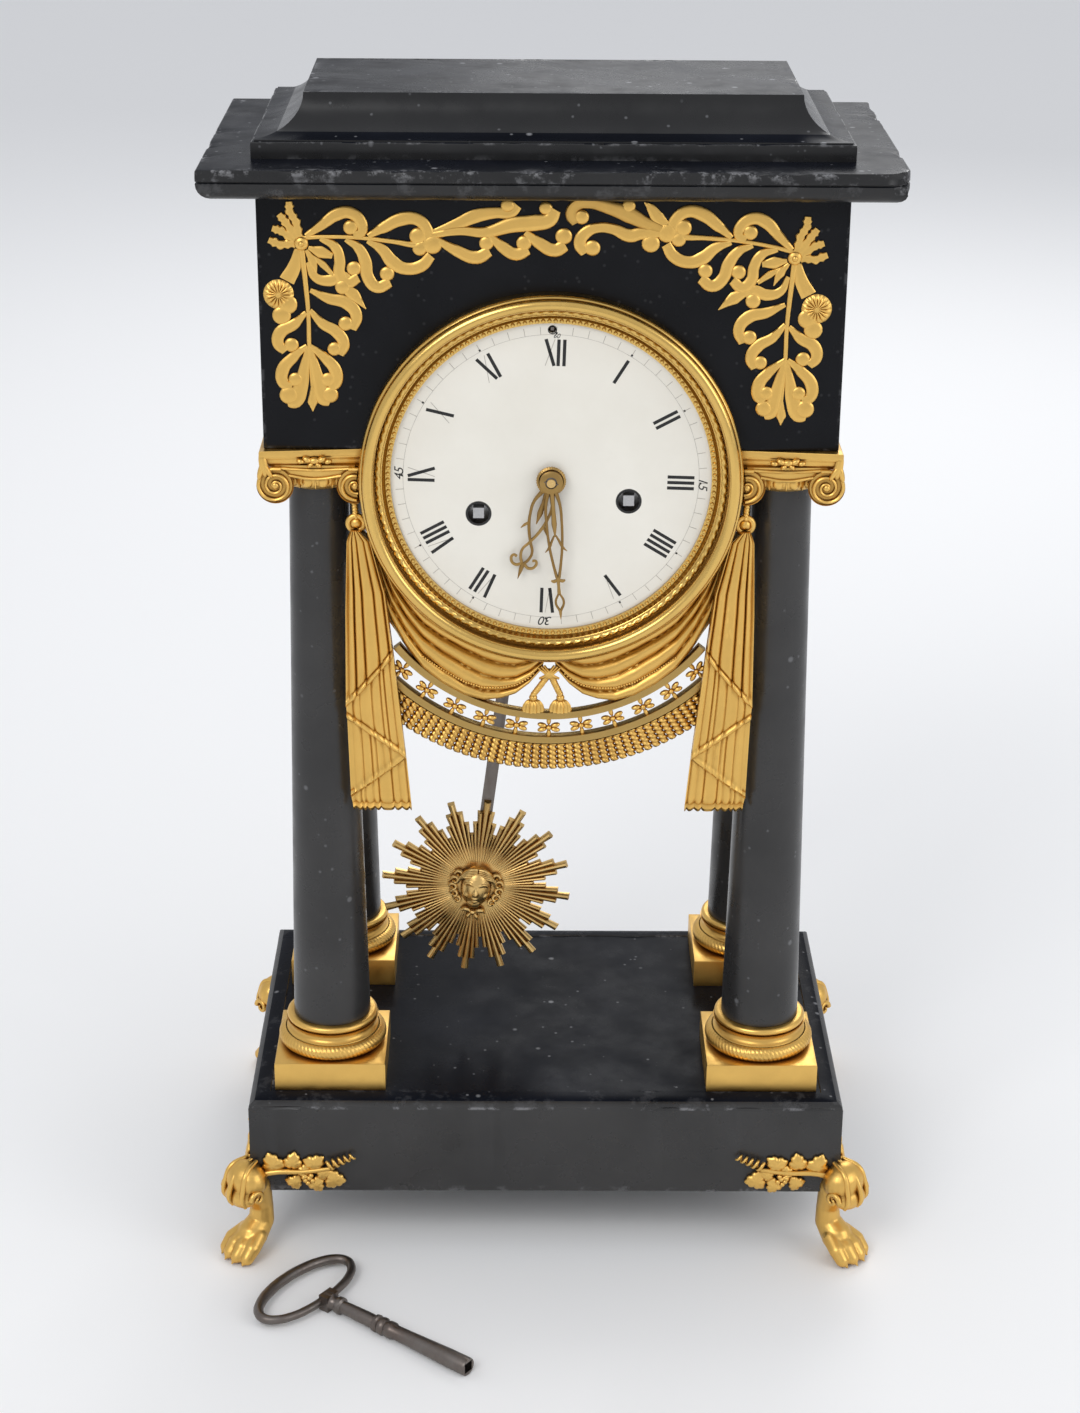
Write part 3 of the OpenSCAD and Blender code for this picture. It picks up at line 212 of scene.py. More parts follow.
def set_surface(material, colour, roughness, bump, bump_strength, bump_mm):
    """Joins a colour, a roughness (a socket or a number) and a bump height to the shader."""
    links = material.node_tree.links
    shader = shader_of(material)
    links.new(colour, shader.inputs["Base Color"])
    if isinstance(roughness, bpy.types.NodeSocket):
        links.new(roughness, shader.inputs["Roughness"])
    else:
        shader.inputs["Roughness"].default_value = roughness
    node = add_node(material, "ShaderNodeBump", Strength=bump_strength, Distance=bump_mm * MM)
    links.new(bump, node.inputs["Height"])
    links.new(node.outputs["Normal"], shader.inputs["Normal"])


def gilt_finish(name, bright, hollow_shade, smooth, rough, grain=900):
    """Gilding that is rubbed bright on its high places, with painted shade in its hollows: ambient occlusion
    and low pointiness darken it towards the hollow_shade colour.
    """
    material = new_material(name)
    # Painted shade: low pointiness and the ambient occlusion mask darken the gilding in its hollows; high
    # places come out brighter, as rubbed wear.
    worn = ramp(material, add_node(material, "ShaderNodeNewGeometry").outputs["Pointiness"], 0.44, 0.53)
    open_place = add_node(material, "ShaderNodeAmbientOcclusion", samples=8, Distance=AO_SHADE_MM * MM)
    shaded = ramp(material, open_place.outputs["AO"], 0.25, 0.85)
    patches = ramp(material, noise_at(material, 70, 6, 0.65), 0.3, 0.72)
    rubbed_and_cavity_shade = maths(material, "ADD", maths(material, "MULTIPLY", worn, 0.45), 0.55)
    tone = mix(material, maths(material, "MULTIPLY", shaded, rubbed_and_cavity_shade), hollow_shade, bright)
    colour = mix(material, maths(material, "MULTIPLY", patches, 0.3), tone,
                 tuple(0.66 * c for c in bright[:3]) + (1,))
    gloss = ramp(material, noise_at(material, 160, 5), 0.3, 0.7,
                 ((smooth, smooth, smooth, 1), (rough, rough, rough, 1)))
    set_surface(material, colour, gloss, noise_at(material, grain, 4), 0.16, 0.12)
    shader_of(material).inputs["Metallic"].default_value = 1
    return material


gilt = gilt_finish("gilt_bronze", (0.84, 0.525, 0.145, 1), (0.34, 0.17, 0.035, 1), 0.3, 0.46)


def added(bm, before):
    """The vertices that have come into a mesh since it had those of an earlier set."""
    return [v for v in bm.verts if v not in before]


def add_ball(bm, place, size, segments=12, rings=8, turn=None):
    """An ellipsoid with three radii, turned and then moved to its place."""
    matrix = Matrix.Translation(place) @ (turn or Matrix()).to_4x4() @ Matrix.Diagonal((*size, 1))
    return bmesh.ops.create_uvsphere(bm, u_segments=segments, v_segments=rings, radius=1,
                                     matrix=matrix)["verts"]


def add_limb(bm, p, q, rp, rq, segments=16):
    """A round limb that tapers from one ball to another."""
    p, q = Vector(p), Vector(q)
    add_ball(bm, p, (rp, rp, rp), segments, 8)
    add_ball(bm, q, (rq, rq, rq), segments, 8)
    turn = (q - p).to_track_quat("Z", "Y").to_matrix().to_4x4()
    bmesh.ops.create_cone(bm, cap_ends=True, segments=segments, radius1=rp, radius2=rq,
                          depth=(q - p).length, matrix=Matrix.Translation((p + q) / 2) @ turn)


def add_leaf(bm, place, size, height, turn):
    """A cast vine leaf: a flat cushion with three broad lobes, a scalloped edge and sunk veins."""
    for v in add_ball(bm, (0, 0, 0), (1, 1, 1), 36, 8):
        angle = math.atan2(v.co.y, v.co.x)
        edge = 0.84 + 0.13 * math.cos(3 * angle) + 0.15 * abs(math.cos(4.5 * angle))
        vein = 1 - 0.4 * abs(math.cos(1.5 * angle)) ** 16 * math.hypot(v.co.x, v.co.y)
        v.co = Vector((v.co.x * edge * size, v.co.y * edge * size, v.co.z * height * vein))
        v.co = Matrix.Rotation(math.radians(turn), 3, "Z") @ v.co + Vector(place)


def add_strokes(bm, strokes, sides=2, smooth=5, cyclic=False):
    """Round strokes, each a list of points (x, y, z, radius), along smooth lines."""
    before = set(bm.verts)
    curve = bpy.data.curves.new("strokes", "CURVE")
    curve.dimensions = "3D"
    curve.bevel_depth = 1
    curve.bevel_resolution = sides
    curve.resolution_u = smooth
    curve.use_fill_caps = True
    for points in strokes:
        spline = curve.splines.new("BEZIER")
        spline.bezier_points.add(len(points) - 1)
        spline.use_cyclic_u = cyclic
        for knot, (x, y, z, radius) in zip(spline.bezier_points, points):
            knot.co = (x, y, z)
            knot.radius = radius
            knot.handle_left_type = knot.handle_right_type = "AUTO"
    obj = bpy.data.objects.new("strokes", curve)
    mesh = bpy.data.meshes.new_from_object(obj)
    bm.from_mesh(mesh)
    bpy.data.objects.remove(obj)
    bpy.data.curves.remove(curve)
    bpy.data.meshes.remove(mesh)
    return added(bm, before)


def fuse(bm, voxel_mm):
    """Melts overlapping closed shapes into one smooth casting."""
    mesh = bpy.data.meshes.new("casting")
    bmesh.ops.recalc_face_normals(bm, faces=bm.faces)
    bm.to_mesh(mesh)
    bm.clear()
    obj = bpy.data.objects.new("casting", mesh)
    scene.collection.objects.link(obj)
    remesh = obj.modifiers.new("melt", "REMESH")
    remesh.mode = "VOXEL"
    remesh.voxel_size = voxel_mm
    melted = bpy.data.meshes.new_from_object(obj.evaluated_get(bpy.context.evaluated_depsgraph_get()))
    bm.from_mesh(melted)
    bpy.data.objects.remove(obj)
    bpy.data.meshes.remove(mesh)
    bpy.data.meshes.remove(melted)
    for _ in range(SMOOTH_ROUNDS):
        bmesh.ops.smooth_vert(bm, verts=bm.verts, factor=0.5, use_axis_x=True, use_axis_y=True,
                              use_axis_z=True)


def add_piece(bm, name, finish, body, replaced=(), crease=38):
    """Makes a mesh in millimetres a piece of the clock that rides on a body."""
    bmesh.ops.recalc_face_normals(bm, faces=bm.faces)
    bmesh.ops.scale(bm, vec=(MM, MM, MM), verts=bm.verts)
    mesh = bpy.data.meshes.new(name)
    bm.to_mesh(mesh)
    bm.free()
    for one in finish if isinstance(finish, tuple) else (finish,):
        mesh.materials.append(one)
    mesh.shade_smooth()
    mesh.set_sharp_from_angle(angle=math.radians(crease))
    obj = bpy.data.objects.new(name, mesh)
    scene.collection.objects.link(obj)
    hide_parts(*replaced)
    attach(obj, body)
    return obj


def vine_spray(bm):
    """Leaves, grapes and a curled tendril, x along the face, y up and z out of it."""
    for x, y, size, turn in VINE_LEAVES:
        add_leaf(bm, (x, y, 0.9), size, 1.7, turn)
    for x, y in GRAPES:
        add_ball(bm, (x, y, 2), (1.2, 1.2, 1.2), 8, 6)
    add_strokes(bm, [[(2, 7.6, 1.4, 1.5), (9, 10, 2, 1.2), (22, 10.4, 2.1, 1), (32, 11.6, 1.6, 0.9)],
                     [(19, 10, 1.8, 0.9), (23, 7.6, 2, 0.8), (27, 4.4, 1.6, 0.7)]])
    steps = int(8 * TENDRIL_TURNS)
    along = (Vector(TENDRIL_TO) - Vector(TENDRIL_FROM)) / steps
    across = Vector((-along.y, along.x)).normalized()
    helix = []
    for i in range(steps + 1):
        wide = 1.9 - 0.8 * i / steps
        place = Vector(TENDRIL_FROM) + along * i + across * wide * math.cos(math.pi / 4 * i)
        helix.append((*place, 1.9 + 0.7 * wide * math.sin(math.pi / 4 * i), 0.72 - 0.22 * i / steps))
    add_strokes(bm, [helix], 2, 2)


def paw_foot():
    """The foot of the front right corner, in millimetres."""
    leg = bmesh.new()
    for p, q, rp, rq in LEG_LIMBS:
        add_limb(leg, p, q, rp, rq)
    add_ball(leg, (2.5, 0, 35.5), (7.6, 9.6, 8), 20, 14)
    add_ball(leg, (6, 0, 29.6), (5, 8.2, 5), 20, 12)
    for y in TOE_SPREAD:
        reach = 10.6 - 0.05 * y * y
        add_limb(leg, (0.5, 0.62 * y, 9), (reach - 3, 0.98 * y, 6.2), 3.6, 3.3, 14)
        add_limb(leg, (reach - 3, 0.98 * y, 6.2), (reach, 1.02 * y, 3.2), 3.2, 2.8, 14)
        add_limb(leg, (reach + 1.6, 1.02 * y, 2.6), (reach + 2.8, 1.03 * y, 1), 1.1, 0.5, 8)
    fuse(leg, 0.5)
    bmesh.ops.bisect_plane(leg, geom=leg.verts[:] + leg.edges[:] + leg.faces[:], plane_co=(0, 0, 0),
                           plane_no=(0, 0, -1), clear_outer=True)
    bmesh.ops.holes_fill(leg, edges=leg.edges, sides=0)
    ribs = [[(-1, 0.5 * y, 43.2, 0.8), (6, 0.85 * y, 41, 1.1), (10.2 - 0.06 * y * y, y, 35.5, 1.2),
             (11.4 - 0.07 * y * y, 1.08 * y, 30, 1.1), (9.6 - 0.06 * y * y, 1.05 * y, 26.6, 0.8)]
            for y in KNEE_RIBS]
    for side in (-1, 1):
        ribs.append([(4 + 3.4 * (1 - i / 11) * math.cos(0.75 * i), side * (8.6 + 0.04 * i),
                      30.4 + 3.4 * (1 - i / 11) * math.sin(0.75 * i), 1.15 - 0.05 * i) for i in range(11)])
    add_strokes(leg, ribs)
    to_corner = Matrix.Rotation(math.radians(-45), 3, "Z")
    bmesh.ops.rotate(leg, verts=leg.verts, cent=(0, 0, 0), matrix=to_corner)
    bmesh.ops.translate(leg, verts=leg.verts, vec=(BASE_HALF_W, -BASE_HALF_D, 0))
    front_face = Matrix(((-1, 0, 0), (0, 0, -1), (0, 1, 0)))
    side_face = Matrix(((0, 0, 1), (1, 0, 0), (0, 1, 0)))
    for face in (front_face, side_face):
        before = set(leg.verts)
        vine_spray(leg)
        for v in added(leg, before):
            v.co = face @ Vector((v.co.x, v.co.y, max(v.co.z, 0.05)))
            v.co += Vector((BASE_HALF_W, -BASE_HALF_D, FOOT_H))
    return leg


foot = paw_foot()
for name, sx, sy in CORNERS:
    copy = foot.copy()
    bmesh.ops.scale(copy, vec=(sx, -sy, 1), verts=copy.verts)
    add_piece(copy, "paw_" + name, gilt, "case", ["foot_" + name], 60)
foot.free()


# Base: one slab of black marble with a rounded upper edge, matt on its faces and specked with dust
# on top. Its faces are painted a lighter grey than the stone, as painted light, and its top darker
# and bluer, as painted shade. Its sharp edges are knocked off in places, which shows as a broken grey line.
CHIP_MM = 0.9


def specks(material, scale, share, radius):
    """Small crisp flecks in some of the cells of a grain, as a mask."""
    node = add_node(material, "ShaderNodeTexVoronoi", Scale=scale)
    material.node_tree.links.new(object_coords(material), node.inputs["Vector"])
    chosen = maths(material, "GREATER_THAN", node.outputs["Color"], 1 - share)
    near = ramp(material, node.outputs["Distance"], 0.5 * radius, radius, ((1, 1, 1, 1), (0, 0, 0, 1)))
    return maths(material, "MULTIPLY", chosen, near)


def marble_finish(name, dark, pale, flecks, specular):
    """Black stone, a little clouded, with pale flecks and grey chips where its wear is marked."""
    material = new_material(name)
    stone = ramp(material, noise_at(material, 22, 6), 0.35, 0.75, (dark, pale))
    grains = maths(material, "MULTIPLY", specks(material, 420, 0.16, 0.3), 0.4 * flecks)
    spots = maths(material, "MULTIPLY", specks(material, 130, 0.1 + 0.12 * flecks, 0.18), 0.5 * flecks)
    flecked = mix(material, grains, stone, (0.3, 0.305, 0.32, 1))
    spotted = mix(material, spots, flecked, (0.34, 0.345, 0.36, 1))
    wear = add_node(material, "ShaderNodeAttribute", attribute_name="wear").outputs["Fac"]
    broken = ramp(material, noise_at(material, 110, 8, 0.75), 0.53, 0.61)
    chips = maths(material, "MULTIPLY", wear, broken)
    colour = mix(material, maths(material, "MULTIPLY", chips, 0.8), spotted, (0.24, 0.24, 0.25, 1))
    polish = ramp(material, maths(material, "ADD", noise_at(material, 60, 5), chips), 0.3, 1.4,
                  ((0.2, 0.2, 0.2, 1), (0.55, 0.55, 0.55, 1)))
    set_surface(material, colour, polish, noise_at(material, 500, 3), 0.04, 0.08)
    shader_of(material).inputs["Specular IOR Level"].default_value = specular
    return material


def lay_dust_and_shade(bm):
    """Gives the level faces of a stone their own finish: a near-black, bluish copy of the stone that stands
    in for how the light falls on tops (painted shade), with real dust flecks.
    """
    bmesh.ops.recalc_face_normals(bm, faces=bm.faces)
    for f in bm.faces:
        f.material_index = 1 if f.normal.z > 0.93 else 0


def moulded_block(bm, rings, sides, steps=1, back=1):
    """A block of rings (inset, z, wear) inside sides (x0, x1, y0, y1); back 0 keeps its back plain."""
    x0, x1, y0, y1 = sides
    loops = []
    wear = bm.verts.layers.float.get("wear") or bm.verts.layers.float.new("wear")
    for inset, z, worn in rings:
        corners = [(x0 + inset, y0 + inset), (x1 - inset, y0 + inset), (x1 - inset, y1 - back * inset),
                   (x0 + inset, y1 - back * inset)]
        loop = []
        for (ax, ay), (bx, by) in zip(corners, corners[1:] + corners[:1]):
            for i in range(steps):
                v = bm.verts.new((ax + (bx - ax) * i / steps, ay + (by - ay) * i / steps, z))
                v[wear] = worn
                loop.append(v)
        loops.append([bm.edges.new((a, b)) for a, b in zip(loop, loop[1:] + loop[:1])])
    for a, b in zip(loops, loops[1:]):
        bmesh.ops.bridge_loops(bm, edges=a + b)
    for loop in (loops[0], loops[-1]):
        bmesh.ops.contextual_create(bm, geom=loop)


def chip_edges(bm, size, seed):
    """Knocks small bites out of the worn edges of a stone."""
    bmesh.ops.recalc_face_normals(bm, faces=bm.faces)
    bm.normal_update()
    wear = bm.verts.layers.float.get("wear")
    for v in bm.verts:
        bite = max(0, noise.noise(v.co * 0.09 + Vector((seed, 0, 0)))
                   + 0.6 * noise.noise(v.co * 0.35 + Vector((0, seed, 0))) - 0.12)
        if v[wear] > 0.5:
            v.co -= v.normal * size * bite


# The black stone painted a lighter grey for the faces of the base and the column shafts: painted light and
# reflection standing in for the light they catch. Its grey chips are real wear.
worn_lit_marble = marble_finish("worn_lit_marble", (0.02, 0.0195, 0.0195, 1), (0.034, 0.033, 0.0325, 1),
                            0.5, 0.45)
# The level faces: the black stone painted near-black and bluish, as painted shade, with more of the real
# dust flecks.
level_shaded_marble = marble_finish("dusty_shaded_marble", (0.004, 0.0048, 0.0075, 1), (0.009, 0.0105, 0.016, 1),
                             1.2, 0.03)
BASE_TOP = base_high.z
BASE_EDGE_W = 8
BASE_EDGE_H = 3
BASE_FACE_TOP = BASE_TOP - BASE_EDGE_H
BASE_FIELD = BASE_TOP - 0.5
base = bmesh.new()
edge_rings = [(BASE_EDGE_W * (1 - math.cos(math.radians(t))),
               BASE_FACE_TOP + BASE_EDGE_H * math.sin(math.radians(t)), 0.12) for t in range(15, 91, 15)]
moulded_block(base, [(3, FOOT_H, 0), (0.5, FOOT_H, 0.5), (0, FOOT_H + 0.5, 0.6), (0, FOOT_H + 3, 0),
                     (0, BASE_FACE_TOP - 0.8, 0), (0, BASE_FACE_TOP - 0.4, 0.7),
                     (0.25, BASE_FACE_TOP + 0.1, 0.8)]
              + edge_rings
              + [(BASE_EDGE_W + 0.4, BASE_FIELD, 0.9), (BASE_EDGE_W + 1.2, BASE_FIELD, 0.2),
                 (BASE_EDGE_W + 3, BASE_FIELD, 0)],
              (-BASE_HALF_W, BASE_HALF_W, -BASE_HALF_D, BASE_HALF_D), 60)
chip_edges(base, CHIP_MM, 3)
lay_dust_and_shade(base)
add_piece(base, "base_stone", (worn_lit_marble, level_shaded_marble), "case", ["base_slab"], 30)


# Column bases: gilt plinths with turned rings, a torus chased with slanting lines,
# a burnished hollow and a thin upper ring. One stands under each column.
plinth_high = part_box("column_bases")[1] / MM
PLINTH_W = 44
PLINTH_TOP = BASE_TOP + 11.5
RINGS_TOP = plinth_high.z
COLUMN_X = plinth_high.x - PLINTH_W / 2
COLUMN_Y = plinth_high.y - PLINTH_W / 2
TORUS_LINES = 76
LINE_DEPTH = 0.34


def turned(bm, profile, place, steps=72, axis=(0, 0, 1)):
    """Turns a profile of (radius, height) about an upright or a level axis."""
    before = set(bm.verts)
    line = [bm.verts.new((r, 0, h)) for r, h in profile]
    edges = [bm.edges.new(pair) for pair in zip(line, line[1:])]
    bmesh.ops.spin(bm, geom=line + edges, cent=(0, 0, 0), axis=(0, 0, 1), angle=2 * math.pi, steps=steps,
                   use_merge=True)
    bmesh.ops.remove_doubles(bm, verts=added(bm, before), dist=1e-4)
    turn = Vector(axis).to_track_quat("Z", "Y").to_matrix()
    for v in added(bm, before):
        v.co = turn @ v.co + Vector(place)
    return added(bm, before)


def arc(cx, cy, r, a0, a1, steps):
    """Points of an arc between two angles in degrees."""
    return [(cx + r * math.cos(math.radians(a0 + (a1 - a0) * i / steps)),
             cy + r * math.sin(math.radians(a0 + (a1 - a0) * i / steps))) for i in range(steps + 1)]


def column_base():
    bm = bmesh.new()
    half = PLINTH_W / 2
    moulded_block(bm, [(1, BASE_TOP - 0.45, 0), (0, BASE_TOP - 0.45, 0), (0, PLINTH_TOP - 0.5, 0),
                       (0.15, PLINTH_TOP - 0.15, 0), (0.5, PLINTH_TOP, 0), (6, PLINTH_TOP, 0)],
                  (-half, half, -half, half))
    for v in turned(bm, arc(18.5, 3.2, 3.1, -86, 80, 12), (0, 0, PLINTH_TOP), 8 * TORUS_LINES):
        angle = math.atan2(v.co.y, v.co.x)
        line = abs(math.sin(0.5 * TORUS_LINES * angle + 0.9 * (v.co.z - PLINTH_TOP)))
        reach = math.hypot(v.co.x, v.co.y)
        v.co.x *= 1 - LINE_DEPTH * (1 - line) ** 2 / reach
        v.co.y *= 1 - LINE_DEPTH * (1 - line) ** 2 / reach
    turned(bm, [(18.4, 0), (18.6, 6.2), (18.4, 6.6)] + arc(19.2, 8.7, 2.2, 250, 110, 8)
           + [(17.4, 10.8)] + arc(16.7, 12.1, 1.45, -80, 90, 8) + [(15.2, 13.6), (15.2, 0.5)],
           (0, 0, PLINTH_TOP), 96)
    return bm


one_base = column_base()
bases = bmesh.new()
for sx in (-1, 1):
    for sy in (-1, 1):
        mesh = bpy.data.meshes.new("column_base")
        one_base.to_mesh(mesh)
        before = set(bases.verts)
        bases.from_mesh(mesh)
        bmesh.ops.translate(bases, verts=added(bases, before), vec=(sx * COLUMN_X, sy * COLUMN_Y, 0))
        bpy.data.meshes.remove(mesh)
one_base.free()
add_piece(bases, "column_base_rings", gilt, "case", ["column_bases"], 40)


# Columns: four tapering marble shafts, polished, with small knocks and scratches.
# Each is drawn tight between its base and its capital by an iron rod inside.
FOOT_R = 15.3
NECK_R = 11
SHAFT_LOW = RINGS_TOP - 0.3
NECK_RISE = 6.6
SHAFT_STEPS = 48
for name, sx, sy in CORNERS:
    column_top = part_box("column_" + name)[1].z / MM
    shaft_top = column_top + NECK_RISE + 0.4
    shaft = bmesh.new()
    shares = [i / SHAFT_STEPS for i in range(SHAFT_STEPS + 1)]
    outline = [(FOOT_R + (NECK_R - FOOT_R) * s, SHAFT_LOW + (shaft_top - SHAFT_LOW) * s) for s in shares]
    turned(shaft, [(0, SHAFT_LOW)] + outline + [(0, shaft_top)], (0, 0, 0), 96)
    for v in shaft.verts:
        knock = max(0, noise.noise(v.co * 0.06 + Vector((11 * sx, 7 * sy, 0))) - 0.5)
        v.co.x *= 1 - 0.02 * knock
        v.co.y *= 1 - 0.02 * knock
    bmesh.ops.translate(shaft, verts=shaft.verts, vec=(sx * COLUMN_X, sy * COLUMN_Y, 0))
    lay_dust_and_shade(shaft)
    # The shafts take the lighter painted copy of the stone (painted light), with the bluish painted-shade
    # copy on their level faces.
    add_piece(shaft, "shaft_" + name, (worn_lit_marble, level_shaded_marble), "case",
              ["column_" + name], 40)


# Capitals: cast Ionic capitals with two-turn volutes, eggs and tongues between them,
# a hollowed abacus with a flower spray, and an acanthus leaf at each outer corner.
DIAL_Z = 324
CAPITAL_LOW = column_top
EGGS = 16
CAPITAL_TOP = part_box("frieze_block")[0].z / MM
ABACUS_HALF = 20
VOLUTE_X = 14.6
VOLUTE_Z = 321.5
VOLUTE_HALF = ((0, 17.3), (6.2, 17.3), (6.8, 17.9), (6.8, 16.2), (5.8, 13), (5.2, 5), (5.9, 4), (5.9, 2.6),
               (5.3, 2))
CAPITAL_HALF = 18
ABACUS_RINGS = ((5, 6.6), (3.2, 6.6), (2.9, 5.4), (2.5, 5.2), (2.4, 4.2), (1.9, 3.4), (0.9, 2.7), (0.8, 2.3),
                (0, 2.2), (0, 0.35), (0.35, 0), (6, 0))
ABACUS_FLOWER = ((0, -3.6, 0, 1.7), (-2.6, -3.2, 25, 1.5), (2.6, -3.2, -25, 1.5), (-5, -3.8, 10, 1.3),
                 (5, -3.8, -10, 1.3), (-1.5, -5.2, -40, 1.2), (1.5, -5.2, 40, 1.2))
CORNER_LEAVES = ((18.6, -5.2, 8, 1), (17.2, -7.4, 30, 0.7), (19.6, -7.8, -14, 0.72))
BEZEL_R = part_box("bezel")[1].x / MM
FRIEZE_FRONT = -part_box("frieze_block")[0].y / MM


def add_box(bm, place, size, turn=None):
    """A block with three half sizes."""
    matrix = Matrix.Translation(place) @ (turn or Matrix()).to_4x4() @ Matrix.Diagonal((*size, 1))
    return bmesh.ops.create_cube(bm, size=2, matrix=matrix)["verts"]


def clear_bezel(bm):
    """Presses back what would stand in the place of the bezel."""
    for v in bm.verts:
        if math.hypot(v.co.x, v.co.z - DIAL_Z) < BEZEL_R + 0.3 and v.co.y < 0.4 - FRIEZE_FRONT:
            v.co.y = 0.4 - FRIEZE_FRONT


def volute_spiral(side, face):
    """Points of a spiral rim on the front or back of a volute."""
    points = []
    for i in range(20):
        angle = math.radians(90 - side * (i * 45 - 20))
        r = 5.9 * (1 - i / 19) ** 1.1 + 0.9
        points.append((side * VOLUTE_X + r * math.cos(angle), face * CAPITAL_HALF,
                       VOLUTE_Z + r * math.sin(angle), 0.8 - 0.018 * i))
    return points


def capital(outer):
    """A capital on an upright axis through the origin, its outer side towards +x or -x."""
    bm = bmesh.new()
    low, top = CAPITAL_LOW, CAPITAL_TOP
    moulded_block(bm, [(inset, top - drop, 0) for inset, drop in ABACUS_RINGS],
                  (-ABACUS_HALF, ABACUS_HALF, -ABACUS_HALF, ABACUS_HALF))
    turned(bm, [(0, low + NECK_RISE), (11.8, low + NECK_RISE), (12.8, low + 7), (14.8, low + 8.2),
                (15.9, low + 10), (16.2, low + 12), (15.6, low + 17), (0, low + 17)], (0, 0, 0), 64)
    for i in range(EGGS):
        turn = Matrix.Rotation(2 * math.pi * (i + 0.5) / EGGS, 3, "Z")
        add_ball(bm, turn @ Vector((15.2, 0, low + 11)), (1.5, 2.3, 2.8), 12, 8, turn)
        dart = Matrix.Rotation(2 * math.pi * i / EGGS, 3, "Z")
        add_ball(bm, dart @ Vector((15.3, 0, low + 10.4)), (1.1, 0.5, 2.6), 6, 6, dart)
    add_box(bm, (0, 0, top - 8.4), (VOLUTE_X, CAPITAL_HALF - 0.9, 2.4))
    for side in (-1, 1):
        other_half = [(r, -h) for r, h in reversed(VOLUTE_HALF)]
        turned(bm, list(VOLUTE_HALF) + other_half, (side * VOLUTE_X, 0, VOLUTE_Z), 40, (0, 1, 0))
        for face in (-1, 1):
            add_strokes(bm, [volute_spiral(side, face)], 2, 3)
            add_ball(bm, (side * VOLUTE_X, face * CAPITAL_HALF, VOLUTE_Z), (1.3, 0.8, 1.3), 10, 6)
    for face in (-1, 1):
        y = face * (CAPITAL_HALF - 0.6)
        add_strokes(bm, [[(-VOLUTE_X, y, top - 6.9, 0.55), (0, y, top - 7.6, 0.55),
                          (VOLUTE_X, y, top - 6.9, 0.55)],
                         [(-VOLUTE_X + 5, y, top - 9.7, 0.6), (0, y, top - 11, 0.6),
                          (VOLUTE_X - 5, y, top - 9.7, 0.6)]])
        for x, z, turn, size in ABACUS_FLOWER:
            add_ball(bm, (x, face * (ABACUS_HALF - 1.2), top + z), (1.25 * size, 1.3, 0.75 * size), 10, 6,
                     Matrix.Rotation(math.radians(turn), 3, "Y"))
        for x, z, lean, size in CORNER_LEAVES:
            add_ball(bm, (outer * x, face * (CAPITAL_HALF + 0.4), top + z), (1.6 * size, 1.1, 5 * size),
                     10, 8, Matrix.Rotation(math.radians(outer * lean), 3, "Y"))
    return bm


for name, sx, sy in CORNERS:
    one = capital(sx)
    bmesh.ops.translate(one, verts=one.verts, vec=(sx * COLUMN_X, sy * COLUMN_Y, 0))
    clear_bezel(one)
    add_piece(one, "ionic_" + name, gilt, "case", ["capital_" + name], 45)


# Frieze: a block of polished black marble with an arch for the drum, sawn and rubbed smooth.
# It stands on the capitals, held by the tie rods, and its edges are a little broken.
BROAD_MM2 = 600


def cad_copy(name):
    """A node's mesh in millimetres, its seams closed and its flat faces whole."""
    bm = bmesh.new()
    bm.from_mesh(nodes[name].data)
    bmesh.ops.scale(bm, vec=(1 / MM, 1 / MM, 1 / MM), verts=bm.verts)
    bmesh.ops.remove_doubles(bm, verts=bm.verts, dist=0.01)
    bmesh.ops.dissolve_limit(bm, angle_limit=math.radians(1), verts=bm.verts, edges=bm.edges)
    return bm


def break_edges(bm, width, worn, keep_mm=2.5):
    """Rounds the sharp edges of a block and marks them as worn."""
    sharp = [e for e in bm.edges if len(e.link_faces) == 2 and e.calc_face_angle() > 0.7]
    bmesh.ops.bevel(bm, geom=sharp, offset=width, offset_type="OFFSET", segments=2, profile=0.5,
                    affect="EDGES", material=-1)
    wear = bm.verts.layers.float.get("wear") or bm.verts.layers.float.new("wear")
    for v in bm.verts:
        v[wear] = worn
    broad = [f for f in bm.faces if f.calc_area() > BROAD_MM2]
    bmesh.ops.inset_individual(bm, faces=broad, thickness=keep_mm, use_even_offset=True)
    for f in broad:
        for v in f.verts:
            v[wear] = 0


marble = marble_finish("black_marble", (0.0035, 0.0038, 0.005, 1), (0.0075, 0.008, 0.01, 1), 0.12, 0.14)
frieze = cad_copy("frieze_block")
break_edges(frieze, 0.5, 0.25, 1)
# Its level faces take the near-black, bluish copy of the stone (painted shade) with dust flecks.
lay_dust_and_shade(frieze)
add_piece(frieze, "frieze_stone", (marble, level_shaded_marble), "case", ["frieze_block"], 30)


